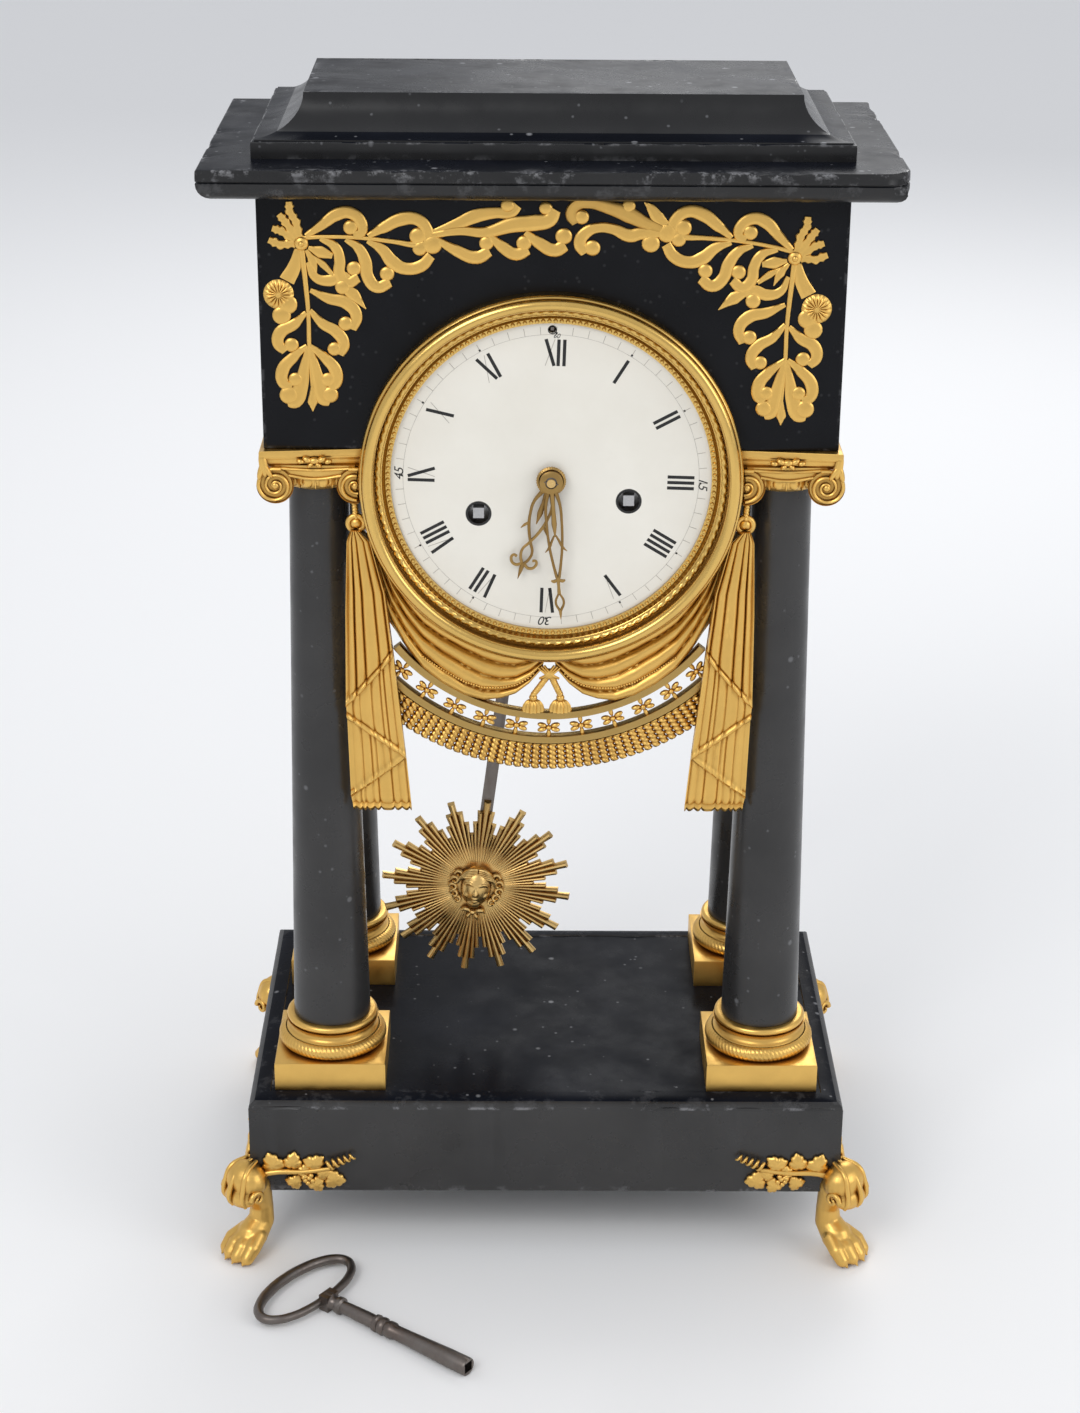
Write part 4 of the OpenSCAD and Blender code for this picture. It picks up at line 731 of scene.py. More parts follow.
# Scroll mounts: pierced gilt sprays pinned to the front of the frieze, each with a hanging spray,
# a branch and a tied knot, and an upright spray on each side of it.
# They are sawn from cast plate as flat leaf-like bars that curl into small discs.
SPRAY_TOP = 0.95
BAR_WIDTH = 1.22
BAR_STEP = 0.02
HANGING = (
    ((0, -2, 0.9), (-1, -13, 0.75), (-1.8, -26, 0.65), (-1.8, -37, 0.65), (-2.5, -52, 0.5)),
    ((-2, -37, 0.7), (-7.4, -41.6, 1.6), (-11, -46.3, 1.9), (-10.9, -51, 1.7), (-8.6, -52.3, 1.3)),
    ((-1, -37, 0.7), (3.9, -41.2, 1.6), (8, -46.3, 1.9), (7.7, -51, 1.7), (4.8, -52.3, 1.3)),
    ((-2.4, -24, 0.7), (-6.5, -28.8, 1.5), (-11.9, -32.2, 1.8), (-14.2, -36.6, 1.7), (-12.6, -40.2, 1.4)),
    ((-1, -24.8, 0.7), (3.3, -29.2, 1.6), (8.3, -32.2, 1.9), (9.3, -36.2, 1.7), (6.8, -39.2, 1.3)),
    ((-2.7, -16.8, 0.7), (-9.3, -19.8, 1.6), (-15.6, -21.5, 1.9), (-18.9, -26.2, 1.7), (-17.2, -30.9, 1.4)),
    ((-2, -37, 0.6), (-3.5, -44, 1.4), (-5, -51, 2), (-6.6, -56.4, 2.3), (-9, -57.6, 1.6)),
    ((-1.3, -37, 0.6), (0.1, -45, 1.5), (1.7, -52.3, 2.2), (4, -57.4, 2.4), (6.6, -57.8, 1.6)),
    ((-2.5, -52, 0.4), (-2.5, -58, 1.5), (-2.5, -61.4, 0.15)))
HANGING_DISCS = ((-8.2, -49.6, 2.2), (3.4, -49.6, 2.2), (-10.8, -38.2, 2.1), (4.5, -36.8, 2.2),
                 (-15, -28.9, 2.2), (-8.9, -55.2, 2.5), (6, -55.4, 2.8))
BESIDE_KNOT = (
    ((-2, -6.7, 0.7), (-4.6, -12.1, 1.3), (-9.7, -13.3, 1.7), (-14.4, -11.7, 1.5), (-16.8, -14.1, 1.5)),
    ((1.4, -2, 0.9), (2.6, -8, 1.9), (5.5, -13.4, 2.3)))
CURL_DISC = ((-14.2, -15.6, 2.3),)
FLOWER_DISCS = ((7.7, -26, 2.8), (5.6, -22, 3))
BRANCH = (
    ((0, 2, 0.7), (-8, 4, 0.6), (-20, 6, 0.6), (-32, 7, 0.7), (-40, 7.5, 1), (-47, 10, 1.5)),
    ((-1.1, 3, 0.8), (-5.9, 7.7, 1.5), (-10.6, 12.7, 1.9), (-15, 14.1, 1.8), (-19.3, 11.4, 1.7),
     (-20, 7.9, 1.5), (-17.4, 6.6, 1.2)),
    ((-22.6, 7.2, 0.8), (-27.6, 11.4, 1.7), (-33, 15.4, 2), (-38.4, 16.4, 1.8), (-42.5, 13.4, 1.7),
     (-43.7, 9.7, 1.6)),
    ((-6.2, 3, 0.7), (-11.9, 1, 1.5), (-14.3, -3.4, 1.6), (-15, -8, 1.7), (-18.2, -10.7, 1.7),
     (-21.8, -8, 1.5)),
    ((-15, 4.4, 0.7), (-20, 2.3, 1.5), (-23.2, -2, 1.8), (-25.1, -7.4, 1.8), (-28.9, -10.2, 1.8),
     (-33.1, -7.4, 1.6)),
    ((-22.6, 5.4, 0.7), (-28.3, 3.4, 1.6), (-32.7, -0.3, 2), (-37.1, -1.7, 1.8), (-42.8, 0.3, 1.8),
     (-45.6, 4.7, 1.5)),
    ((-15.3, -11.9, 0.8), (-21, -14.6, 1.9), (-26.4, -18.8, 0.15)),
    ((-2, -2, 0.5), (-4.9, -5.4, 1.4), (-7.1, -10, 0.15)),
    ((-2.7, -1, 0.6), (-7.1, -1.7, 1.8), (-11.5, -2.3, 0.9)),
    ((-4.6, -3.7, 0.4), (-8.7, -6, 1.1), (-12.8, -9, 0.6)))
BRANCH_DISCS = ((-16, 9, 2.2), (-39.7, 10.6, 2.5), (-19.7, -5.2, 2.2), (-31.5, -4.8, 2.2),
                (-41.2, 6.4, 2.2), (-45.3, 8.7, 2.9))
RIGHT_END = (
    ((-45.3, 11, 1.2), (-48.8, 14.1, 1.9), (-51.3, 17.6, 1.3), (-53.6, 19.6, 0.2)),
    ((-45.9, 9.7, 1), (-52.9, 12.1, 1.8), (-58.9, 15.1, 2.4), (-65.2, 17.4, 2), (-72.1, 19, 1.6),
     (-77.3, 18.4, 1.7), (-79.2, 15.1, 1.7), (-77.5, 12, 1.4)),
    ((-47.5, 8.4, 1), (-54.8, 8.4, 1.8), (-58.5, 7.7, 2), (-64.2, 9.9, 1.6), (-69.6, 10.4, 1.5),
     (-74.3, 8.4, 1.8), (-76, 4.6, 1.8), (-74, 1.4, 1.6)))
RIGHT_DISCS = ((-75.5, 14.2, 2.2), (-59, 18.2, 2), (-71.6, 3.2, 2.4), (-51, 4.9, 2.7))
LEFT_END = (
    ((-46, 4, 0.9), (-54.6, 7, 1.7), (-61.2, 10, 2), (-68.5, 11.3, 1.6), (-74, 11.6, 1.6), (-76, 14, 1.5)),
    ((-46, 3.2, 1), (-56, 4.7, 1.3), (-64.8, 4.3, 1.6), (-74.4, 7, 2.3), (-82.4, 7.8, 2.4),
     (-87.3, 8.8, 2.1), (-89.4, 12.5, 1.7)),
    ((-47, 2, 0.8), (-54.6, -2.3, 1.7), (-61.9, -4.7, 2), (-66.3, -2.3, 1.7)),
    ((-66, 3.4, 0.8), (-70.7, -0.8, 1.7), (-75.8, -3.5, 1.9), (-79.9, -1.6, 1.7)),
    ((-78.8, 4.4, 0.9), (-84, 0.4, 1.8), (-89.4, -2, 2), (-93, 0, 1.8)))
LEFT_DISCS = ((-72.6, 13.9, 2), (-86, 13, 2), (-65.2, 0.4, 2.2), (-78.4, 0.5, 2.3), (-92.4, 3, 2.5))
RIBBON_ENDS = (((0.6, 2), (1.7, 7.7), (3.8, 11.4), (4, 14.8)), ((1.6, 2.2), (5.5, 7.7), (7.6, 10.4)),
               ((2.2, 1.2), (7.1, 4.4), (10.1, 5.4)), ((2.4, 0), (7.4, -0.5), (11.5, 1.2)))
FLOWER_AT = (8.6, -18.4)
FLOWER_R = 5.4
FLOWER_PROFILE = ((0, 1.5), (0.16, 1.7), (0.28, 1.3), (0.6, 1.45), (0.85, 1), (1, 0.2), (0.9, 0), (0, 0))
KNOT_AT = {"left": (-88.7, 86.7), "right": (85.4, 82.4)}
BRANCH_SAG = {"left": 11, "right": 0}


def turned_strokes(strokes, degrees):
    """Strokes turned about the knot, so that a branch sags at its far end."""
    turn = Matrix.Rotation(math.radians(degrees), 2)
    return [[(*(turn @ Vector((x, y))), r) for x, y, r in points] for points in strokes]


def ribbed(points):
    """A ribbon end, crimped across by a row of swellings."""
    line = []
    for (x0, y0), (x1, y1) in zip(points, points[1:]):
        line += [(x0 + (x1 - x0) * i / 4, y0 + (y1 - y0) * i / 4, 1.45 - 0.4 * (i % 2)) for i in range(4)]
    return line + [(*points[-1], 1)]


def add_spray(bm, strokes, discs):
    """Flat bars with round edges, and the discs that they curl into, about the knot."""
    for i, points in enumerate(strokes):
        top = SPRAY_TOP - BAR_STEP * (i % 11)
        for v in add_strokes(bm, [[(x, y, 0, BAR_WIDTH * r) for x, y, r in points]], 3, 6):
            v.co.z = max(0, min(top, SPRAY_TOP / 2 + 0.5 * v.co.z))
    for x, y, r in discs:
        add_ball(bm, (x, y, SPRAY_TOP / 2), (1.2 * r, 1.2 * r, 0.75), 18, 8)


def add_flower(bm, place, radius, rays):
    """A round open flower, its petals parted by lines from the middle."""
    for v in turned(bm, FLOWER_PROFILE, (0, 0, 0), 6 * rays):
        line = abs(math.cos(0.5 * rays * math.atan2(v.co.y, v.co.x))) ** 6
        v.co.z *= 1 - 0.35 * line if math.hypot(v.co.x, v.co.y) > 0.2 else 1
        v.co = Vector((place[0] + radius * v.co.x, place[1] + radius * v.co.y, v.co.z))


def on_front(verts, f, flat=1):
    """Stands what was drawn in the dial's plane, with its height out of it, at a depth f."""
    for v in verts:
        v.co = Vector((v.co.x, -f - flat * v.co.z, DIAL_Z + v.co.y))


for name, side, end, end_discs in (("left", -1, LEFT_END, LEFT_DISCS), ("right", 1, RIGHT_END, RIGHT_DISCS)):
    spray = bmesh.new()
    place = KNOT_AT[name]
    branch = tuple(turned_strokes(BRANCH, BRANCH_SAG[name]))
    branch_discs = tuple(turned_strokes([BRANCH_DISCS], BRANCH_SAG[name])[0])
    ribbons = tuple(ribbed(points) for points in RIBBON_ENDS)
    add_spray(spray, HANGING + BESIDE_KNOT + branch + end + ribbons,
              HANGING_DISCS + branch_discs + end_discs + CURL_DISC + FLOWER_DISCS)
    add_flower(spray, FLOWER_AT, FLOWER_R, 16)
    add_ball(spray, (0, 0, 0.6), (2.6, 2.6, 1.2), 16, 8)
    add_ball(spray, (0, 0, 1.2), (1.2, 1.2, 1.1), 12, 8)
    for v in spray.verts:
        v.co = Vector((place[0] + side * v.co.x, place[1] + v.co.y, v.co.z))
    on_front(spray.verts, FRIEZE_FRONT)
    add_piece(spray, "spray_" + name, gilt, "case", ["scroll_mount_" + name], 50)

SIDE_SPRAY_Z = 415
SIDE_STRETCH = 1.1
STALK_X = 2.2
SIDE_SPRAY_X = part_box("frieze_block")[1].x / MM
side_spray = bmesh.new()
for side in (-1, 1):
    for half in (-1, 1):
        before = set(side_spray.verts)
        add_spray(side_spray, HANGING[:2] + HANGING[3:4] + HANGING[5:7] + HANGING[8:] + BESIDE_KNOT[:1],
                  HANGING_DISCS[:1] + HANGING_DISCS[2:3] + HANGING_DISCS[4:6] + CURL_DISC)
        for v in added(side_spray, before):
            v.co = Vector((side * (SIDE_SPRAY_X + v.co.z), half * (v.co.x + STALK_X),
                           SIDE_SPRAY_Z + SIDE_STRETCH * v.co.y))
add_piece(side_spray, "side_sprays", gilt, "case", ["side_mounts"], 50)


# Cornice and cap: two marble slabs, the cornice with an ovolo under its fascia and a plain back,
# the cap with a hollow slope. The front edge is knocked white and one front corner is broken off.
cornice_low, cornice_high = (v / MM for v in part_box("cornice_slab"))
cap_low, cap_high = (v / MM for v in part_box("cap_block"))
OVOLO = 6.3
GROOVE = ((0.2, 6.35, 0.5), (1.2, 6.4, 0), (1.2, 6.9, 0), (0.2, 7, 0.4), (0, 7.3, 0.4))
FASCIA = ((0, 2.4, 0.3), (0.1, 0.4, 1), (0.5, 0.05, 1), (1.2, 0, 0.9), (4, 0, 0.1), (14, 0, 0))
moulded_marble = marble_finish("moulded_marble", (0.007, 0.007, 0.0075, 1), (0.014, 0.0138, 0.0142, 1),
                               0.7, 0.42)
cornice = bmesh.new()
ovolo = [(OVOLO * (1 - math.sin(math.radians(t))),
          cornice_low.z + OVOLO * (1 - math.cos(math.radians(t))), 0.15) for t in range(0, 91, 15)]
groove = [(inset, cornice_low.z + rise, worn) for inset, rise, worn in GROOVE]
fascia = [(inset, cornice_high.z - drop, worn) for inset, drop, worn in FASCIA]
moulded_block(cornice, [(10, cornice_low.z, 0)] + ovolo + groove + fascia,
              (cornice_low.x, cornice_high.x, cornice_low.y, cornice_high.y), 80, 0)
chip_edges(cornice, 1.5, 8)
BROKEN_AT = Vector((cornice_high.x, cornice_low.y, cornice_high.z - 2))
BROKEN_R = 8
wear = cornice.verts.layers.float.get("wear")
for v in cornice.verts:
    reach = (v.co - BROKEN_AT).length
    if reach < BROKEN_R:
        v.co += Vector((-0.5, 0.6, 0)) * (BROKEN_R - reach) * (0.75 + 0.5 * noise.noise(v.co * 0.5))
        v[wear] = 0.7
# Its level faces take the near-black, bluish copy of the stone (painted shade) with dust flecks.
lay_dust_and_shade(cornice)
add_piece(cornice, "cornice_stone", (moulded_marble, level_shaded_marble), "case",
          ["cornice_slab"], 30)

SLOPE_H = 13.7
SLOPE_W = 17.6
CAP_LEDGE = 1.2
CAP_STEP = ((6, 0, 0), (0, 0, 0.2), (0, 2, 0), (0, 5, 0), (0.15, 5.65, 0.6), (0.5, 5.8, 0.6),
            (CAP_LEDGE, 5.85, 0))
cap = bmesh.new()
step = [(inset, cap_low.z + rise, worn) for inset, rise, worn in CAP_STEP]
slope = [(CAP_LEDGE + (SLOPE_W - CAP_LEDGE) * math.sin(math.radians(t)),
          cap_low.z + 6.4 + SLOPE_H * (1 - math.cos(math.radians(t))), 0) for t in range(0, 91, 9)]
moulded_block(cap, step + slope + [(SLOPE_W + 0.5, cap_high.z, 0.8), (SLOPE_W + 4, cap_high.z, 0)],
              (cap_low.x, cap_high.x, cap_low.y, cap_high.y), 60)
chip_edges(cap, 0.8, 21)
# Its level faces take the near-black, bluish copy of the stone (painted shade) with dust flecks.
lay_dust_and_shade(cap)
add_piece(cap, "cap_stone", (moulded_marble, level_shaded_marble), "case", ["cap_block"], 30)


# Drapery: gilt castings screwed to the case round the drum. Two festoons with a knot and tassels,
# two pleated tails, each on a ring and a rope, and a pierced band of florets with a bullion fringe.
DRAPE_F = -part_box("bullion_fringe")[1].y / MM
TAIL_F = 55.3
TAIL_TOP = -20
TAIL_LOW = -134.2
TAIL_INNER = ((TAIL_LOW, 52.5), (-111, 54.5), (-68, 58.8), (-44, 61.4), (-24, 66.4), (TAIL_TOP, 70.4))
TAIL_OUTER = ((TAIL_LOW, 74.8), (-130, 75.6), (-90, 76.6), (-52, 76), (-24, 75), (TAIL_TOP, 73.4))
TAIL_HEMS = ((TAIL_LOW, TAIL_LOW), (-112.6, -129), (-111.8, -95.4), (-69.5, -90))
TAIL_PLEATS = (7.5, 7, 6.5, 4.5)
LAYER_STEP = 1.75
LAYER_BACK = 0.06
RING_AT = (71.6, -18)
ROPE_L = 17
HEM_MM = 2.4
SWAG_HEM = ((0, 2.5, -77.5), (0.07, 7.6, -83.3), (0.14, 12.7, -87.1), (0.22, 18.4, -88.9),
            (0.31, 25, -89.6), (0.41, 32, -87.8), (0.53, 40, -83.2), (0.65, 47.5, -77),
            (0.76, 54, -68.6), (0.86, 60, -59), (1, 69, -36))
SWAG_TOP_R = 63
SWAG_FRONT = 6.2
FOLDS = 6
KNOT_Y = -78.4
TASSELS = (-6, 4.3)
TASSEL_TOP = -89.6
TASSEL_PROFILE = ((0, 0.2), (1.5, 0.1), (2.9, -0.7), (3.9, -2.2), (4.35, -3.9), (4.3, -4.8),
                  (2.2, -5), (0, -5))
BEADS_ON_HEM = 44
BAND_CENTRE = -23.2
RIB_R = (73, 83)
RIB_HALF = {73: 52, 83: 45}
RIB_W = 3.3
PETALS = ((-2.5, 0.9, -14), (-2.5, -0.9, 14), (2.5, 0.9, 14), (2.5, -0.9, -14))
FLORET_STEP = 9.1
FLORETS_A_SIDE = 5
FRINGE_HALF = 42.5
CORDS = 42
CORD_R = 1.85
CORD_L = 11


def between(table, at):
    """A value read off a table of (place, value) pairs in rising order."""
    for (a, va), (b, vb) in zip(table, table[1:]):
        if at <= b:
            return va + (vb - va) * max(0, at - a) / (b - a)
    return table[-1][1]


def add_relief(bm, columns, rows, shape, back):
    """A casting with a flat back; shape gives (x, y, height) for shares across and down a grid."""
    before = set(bm.verts)
    grid = bmesh.ops.create_grid(bm, x_segments=columns, y_segments=rows, size=0.5)["verts"]
    for v in grid:
        v.co = Vector(shape(v.co.x + 0.5, 0.5 - v.co.y))
    faces = list({f for v in grid for f in v.link_faces})
    shell = bmesh.ops.extrude_face_region(bm, geom=faces, use_keep_orig=True)["geom"]
    for v in shell:
        if isinstance(v, bmesh.types.BMVert):
            v.co.z = back
    return added(bm, before)


def add_twist(bm, p, q, radius, turns, height):
    """A rope of two strands from one point of the dial's plane to another."""
    for phase in (0, math.pi):
        strand = []
        for i in range(4 * turns + 1):
            share = i / (4 * turns)
            angle = phase + math.pi / 2 * i
            strand.append((p[0] + (q[0] - p[0]) * share + 0.5 * radius * math.cos(angle),
                           p[1] + (q[1] - p[1]) * share, height + 0.5 * radius * math.sin(angle),
                           0.66 * radius))
        add_strokes(bm, [strand], 1, 2)


def tail_layer(layer, side):
    """One fold of a tail: uneven pleats that run together at the ring and end in a banded hem."""
    inner_hem, outer_hem = TAIL_HEMS[layer]

    def shape(across, down):
        hem = inner_hem + (outer_hem - inner_hem) * across
        wander = across + 0.05 * math.sin(8 * across + 2.1 * layer) + 0.02 * math.sin(23 * across)
        pleat = abs(math.cos(math.pi * TAIL_PLEATS[layer] * wander)) ** 0.7
        y = TAIL_TOP + (hem - TAIL_TOP - 0.9 * pleat * (layer == 0)) * down
        x = between(TAIL_INNER, y) + (between(TAIL_OUTER, y) - between(TAIL_INNER, y)) * across
        depth = 1.25 if layer == 3 else 0.75
        height = 0.4 + LAYER_STEP * layer + depth * pleat * min(1, 0.35 + 2 * down)
        above_hem = (1 - down) * (TAIL_TOP - hem)
        if above_hem < HEM_MM:
            height += 0.2 + 0.7 * math.sin(math.pi * above_hem / HEM_MM) ** 0.5
        elif above_hem < HEM_MM + 0.6:
            height -= 0.4
        return side * x, y, height

    return shape


for name, side in (("left", -1), ("right", 1)):
    tail = bmesh.new()
    for layer in range(len(TAIL_HEMS)):
        add_relief(tail, 90, 90, tail_layer(layer, side), 0.1 + LAYER_BACK * layer)
    ring_x = side * RING_AT[0]
    turned(tail, arc(2.9, 1.9, 1.15, 0, 360, 12), (ring_x, RING_AT[1], 0.6), 32)
    add_ball(tail, (ring_x, RING_AT[1], 2.4), (2.3, 2.3, 1.8), 12, 8)
    rope_low = RING_AT[1] + 2
    add_twist(tail, (ring_x, rope_low), (ring_x + side * 1.2, rope_low + ROPE_L), 1.2, 7, 2.6)
    on_front(tail.verts, TAIL_F)
    clear_bezel(tail)
    add_piece(tail, "tail_" + name, gilt, "case", ["drape_tail_" + name], 60)


def swag_lobe(side):
    """A festoon: folds that fan out from the knot, sag, and run up behind a tail."""
    hem_x = [(s, x) for s, x, _ in SWAG_HEM]
    hem_y = [(s, y) for s, _, y in SWAG_HEM]

    def shape(along, across):
        hem = Vector((between(hem_x, along), between(hem_y, along)))
        top_angle = math.radians(-90 + 74 * along)
        top = Vector((SWAG_TOP_R * math.cos(top_angle) + 0.5, SWAG_TOP_R * math.sin(top_angle)))
        place = hem + (top - hem) * across
        wander = across + 0.05 * math.sin(4 * along + 5 * across) + 0.02 * math.sin(11 * along)
        fold = abs(math.sin(math.pi * FOLDS * wander)) ** 0.6
        swell = math.sin(math.pi * min(1, along + 0.06)) ** 0.5
        height = 0.8 + (0.6 + 1.5 * swell) * fold + 2.6 * swell * math.sin(math.pi * (0.25 + 0.6 * across))
        if across < 0.06:
            height -= 0.5 * (1 - across / 0.06)
        behind_tail = max(0, min(1, (place.x - 46) / 8))
        return side * place.x, place.y, min(height, SWAG_FRONT + (4.1 - SWAG_FRONT) * behind_tail)
    return shape


swag = bmesh.new()
for side, tassel_x in zip((-1, 1), TASSELS):
    shape = swag_lobe(side)
    add_relief(swag, 100, 90, shape, 0)
    for i in range(BEADS_ON_HEM):
        x, y, height = shape(0.05 + 0.014 * i, 0.14 + 0.04 * math.sin(math.pi * i / (BEADS_ON_HEM - 1)))
        add_ball(swag, (x, y, height + 0.1), (0.52, 0.52, 0.52), 8, 6)
    add_twist(swag, (side * 0.9, KNOT_Y - 1.5), (tassel_x, TASSEL_TOP + 2.4), 1.2, 5, 4.2)
    add_ball(swag, (tassel_x, TASSEL_TOP + 1.1, 3.6), (1.6, 1.5, 1.6), 14, 10)
    for v in turned(swag, TASSEL_PROFILE, (0, 0, 0), 96):
        angle = math.atan2(v.co.y, v.co.x)
        flute = 1 - 0.2 * abs(math.sin(7 * angle)) ** 2 * (v.co.z < -0.5)
        v.co = Vector((tassel_x + v.co.x * flute, TASSEL_TOP + v.co.z, 3 + 0.62 * v.co.y * flute))
    for i in (-1, 0, 1):
        add_strokes(swag, [[(side * (i - 3), KNOT_Y + 2.6 + 0.5 * i, 4, 0.5),
                            (side * 0.9 * i, KNOT_Y, 5.6, 0.62),
                            (side * (2.6 + i), KNOT_Y - 2.7 + 0.5 * i, 4, 0.5)]], 1, 5)
add_ball(swag, (0, KNOT_Y, 4), (1.8, 2, 1.3), 18, 10)
on_front(swag.verts, DRAPE_F)
add_piece(swag, "festoons", gilt, "case", ["drape_swag"], 60)


def round_band(angle, r):
    """A place on the band at an angle from its lowest point."""
    a = math.radians(angle - 90)
    return Vector((r * math.cos(a), BAND_CENTRE + r * math.sin(a), 0))


def rib(mid_r, width):
    def shape(along, across):
        place = round_band(RIB_HALF[mid_r] * (2 * along - 1), mid_r + width * (across - 0.5))
        rounding = max(0, abs(across - 0.5) - 0.36) / 0.14
        return place.x, place.y, 3.9 - 0.9 * rounding ** 2
    return shape


def give_finish(verts, index):
    """Gives the faces at some vertices another of their piece's finishes."""
    for f in {f for v in verts for f in v.link_faces}:
        f.material_index = index


satin = gilt_finish("satin_gilt", (0.50, 0.33, 0.11, 1), (0.26, 0.15, 0.045, 1), 0.26, 0.4, 500)
band = bmesh.new()
for i in range(-FLORETS_A_SIDE, FLORETS_A_SIDE + 1):
    before = set(band.verts)
    for x, y, turn in PETALS:
        add_ball(band, (x, y, 2.6), (1.9, 1, 1.15), 10, 8, Matrix.Rotation(math.radians(turn), 3, "Z"))
    add_ball(band, (0, 0, 3), (1.1, 1.1, 1.2), 10, 8)
    for y in (-2.7, 2.7):
        add_ball(band, (0, y, 2.4), (0.9, 1.9, 1), 10, 8)
    turn = Matrix.Rotation(math.radians(FLORET_STEP * i), 3, "Z")
    for v in added(band, before):
        v.co = turn @ v.co + round_band(FLORET_STEP * i, sum(RIB_R) / 2)
for mid_r in RIB_R:
    before = set(band.verts)
    add_relief(band, 90, 10, rib(mid_r, RIB_W), 0.2)
    give_finish(added(band, before), 1)
on_front(band.verts, DRAPE_F)
add_piece(band, "florets", (gilt, satin), "case", ["floret_band"], 50)

cord_bm = bmesh.new()
turned(cord_bm, [(0, 0.2), (CORD_R - 0.15, 0.2)] + [(CORD_R, 0.6 + 0.32 * i) for i in range(31)]
       + [(CORD_R - 0.2, CORD_L - 0.55), (1, CORD_L - 0.12), (0, CORD_L)], (0, 0, 0), 16)
for v in cord_bm.verts:
    strand = 1 - 0.42 * (1 - abs(math.sin(math.atan2(v.co.y, v.co.x) + 1.6 * v.co.z))) ** 1.3
    v.co = Vector((v.co.x * strand, -v.co.z, 1.85 + v.co.y * strand))
cord_mesh = bpy.data.meshes.new("cord")
cord_bm.to_mesh(cord_mesh)
cord_bm.free()
fringe = bmesh.new()
for i in range(CORDS):
    angle = FRINGE_HALF * (2 * i / (CORDS - 1) - 1)
    before = set(fringe.verts)
    fringe.from_mesh(cord_mesh)
    turn = Matrix.Rotation(math.radians(angle), 3, "Z")
    for v in added(fringe, before):
        v.co = turn @ v.co + round_band(angle, RIB_R[1] + 1.6)
bpy.data.meshes.remove(cord_mesh)
on_front(fringe.verts, DRAPE_F)
add_piece(fringe, "bullion", gilt, "case", ["bullion_fringe"], 70)


# Bezel: a turned gilt ring. From the outside in: a broad burnished moulding, a groove,
# a chased band of small leaves, a hollow and a ring of beads next to the enamel.
LEAVES = 110
LEAF_R = 63.1
BEADS = 170
BEAD_R = 59.55
INNER_RINGS = [(58.6, 0.1), (58.6, 1.5), (60.4, 1.7), (60.8, 1.3), (61.4, 1.9), (61.7, 2.9), (62, 3.1),
               (64.2, 3.3), (64.5, 2.7), (64.9, 2.7), (65, 3.4), (65, 5.4)]
LEAF_BAND = ((61.9, 2.6), (62, 3.3), (62.5, 3.9), (63, 4.15), (63.5, 4.1), (64, 3.8), (64.3, 3.2),
             (64.3, 2.6))
burnished = gilt_finish("burnished_gilt", (0.78, 0.51, 0.15, 1), (0.3, 0.16, 0.04, 1), 0.16, 0.3, 500)
bezel = bmesh.new()
turned(bezel, INNER_RINGS + arc(66.7, 6.9, 2.1, 190, 20, 10) + [(68.7, 7.2), (68.9, 6.7)]
       + arc(68, 5, 2, 60, 0, 5) + [(70, 3), (70, 0.1), INNER_RINGS[0]], (0, 0, 0), 240)
for v in turned(bezel, LEAF_BAND, (0, 0, 0), 6 * LEAVES):
    reach = math.hypot(v.co.x, v.co.y)
    share = (math.atan2(v.co.y, v.co.x) / (2 * math.pi) * LEAVES + 0.35 * (reach - LEAF_R)) % 1
    v.co.z -= 0.55 * abs(2 * share - 1) ** 3 if v.co.z > 2.8 else 0
for i in range(BEADS):
    angle = 2 * math.pi * i / BEADS
    add_ball(bezel, (BEAD_R * math.cos(angle), BEAD_R * math.sin(angle), 1.75), (0.78, 0.78, 0.7), 8, 5)
on_front(bezel.verts, FRIEZE_FRONT)
add_piece(bezel, "bezel_ring", burnished, "case", ["bezel"], 35)


# Dial print: fired black numerals, set radially, a worn minute track, small quarter figures
# and the black linings of the two winding holes. All lie on the enamel disc.
DIAL_F = -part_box("dial")[0].y / MM
PRINT_TURN = -1.6
NUMERALS = ("XII", "I", "II", "III", "IIII", "V", "VI", "VII", "VIII", "IX", "X", "XI")
NUMERAL_R = (42.5, 52.3)
STROKE_W = 1.2
ADVANCE = {"I": 2.1, "V": 3.7, "X": 4.0}
TRACK_R = (54, 57)
QUARTERS = (("60", 0, 53.5, 2.4), ("15", 90, 55.4, 4.8), ("30", 180, 55.4, 4.8), ("45", 270, 55.4, 4.8))
WINDING_AT = ((-26.5, -13.5), (28.5, -8.5))
REGULATOR_Y = 55.8
HAIRLINE = 0.22
V_HALF = 1.4
X_HALF = 1.6


def paint_finish(name, colour, roughness):
    """A thin dull coat, a little uneven."""
    material = new_material(name)
    pale = tuple(min(1, 1.6 * c + 0.01) for c in colour[:3]) + (1,)
    tone = ramp(material, noise_at(material, 220, 5), 0.4, 0.8, (colour, pale))
    set_surface(material, tone, roughness, noise_at(material, 600, 3), 0.1, 0.05)
    return material


ink = paint_finish("dial_ink", (0.004, 0.004, 0.004, 1), 0.45)
worn_ink = paint_finish("worn_dial_ink", (0.33, 0.31, 0.27, 1), 0.5)
print_bm = bmesh.new()


def print_bar(bm, x0, y0, x1, y1, width, turn, worn):
    """A printed stroke between two points, the whole turned clockwise about the dial's centre."""
    p, q = Vector((x0, y0, 0.03)), Vector((x1, y1, 0.03))
    along = (q - p).to_2d()
    tilt = Matrix.Rotation(math.atan2(along.y, along.x), 3, "Z")
    verts = add_box(bm, (p + q) / 2, (along.length / 2, width / 2, 0.02), tilt)
    spin = Matrix.Rotation(math.radians(PRINT_TURN - turn), 3, "Z")
    for v in verts:
        v.co = spin @ v.co
    give_finish(verts, worn)


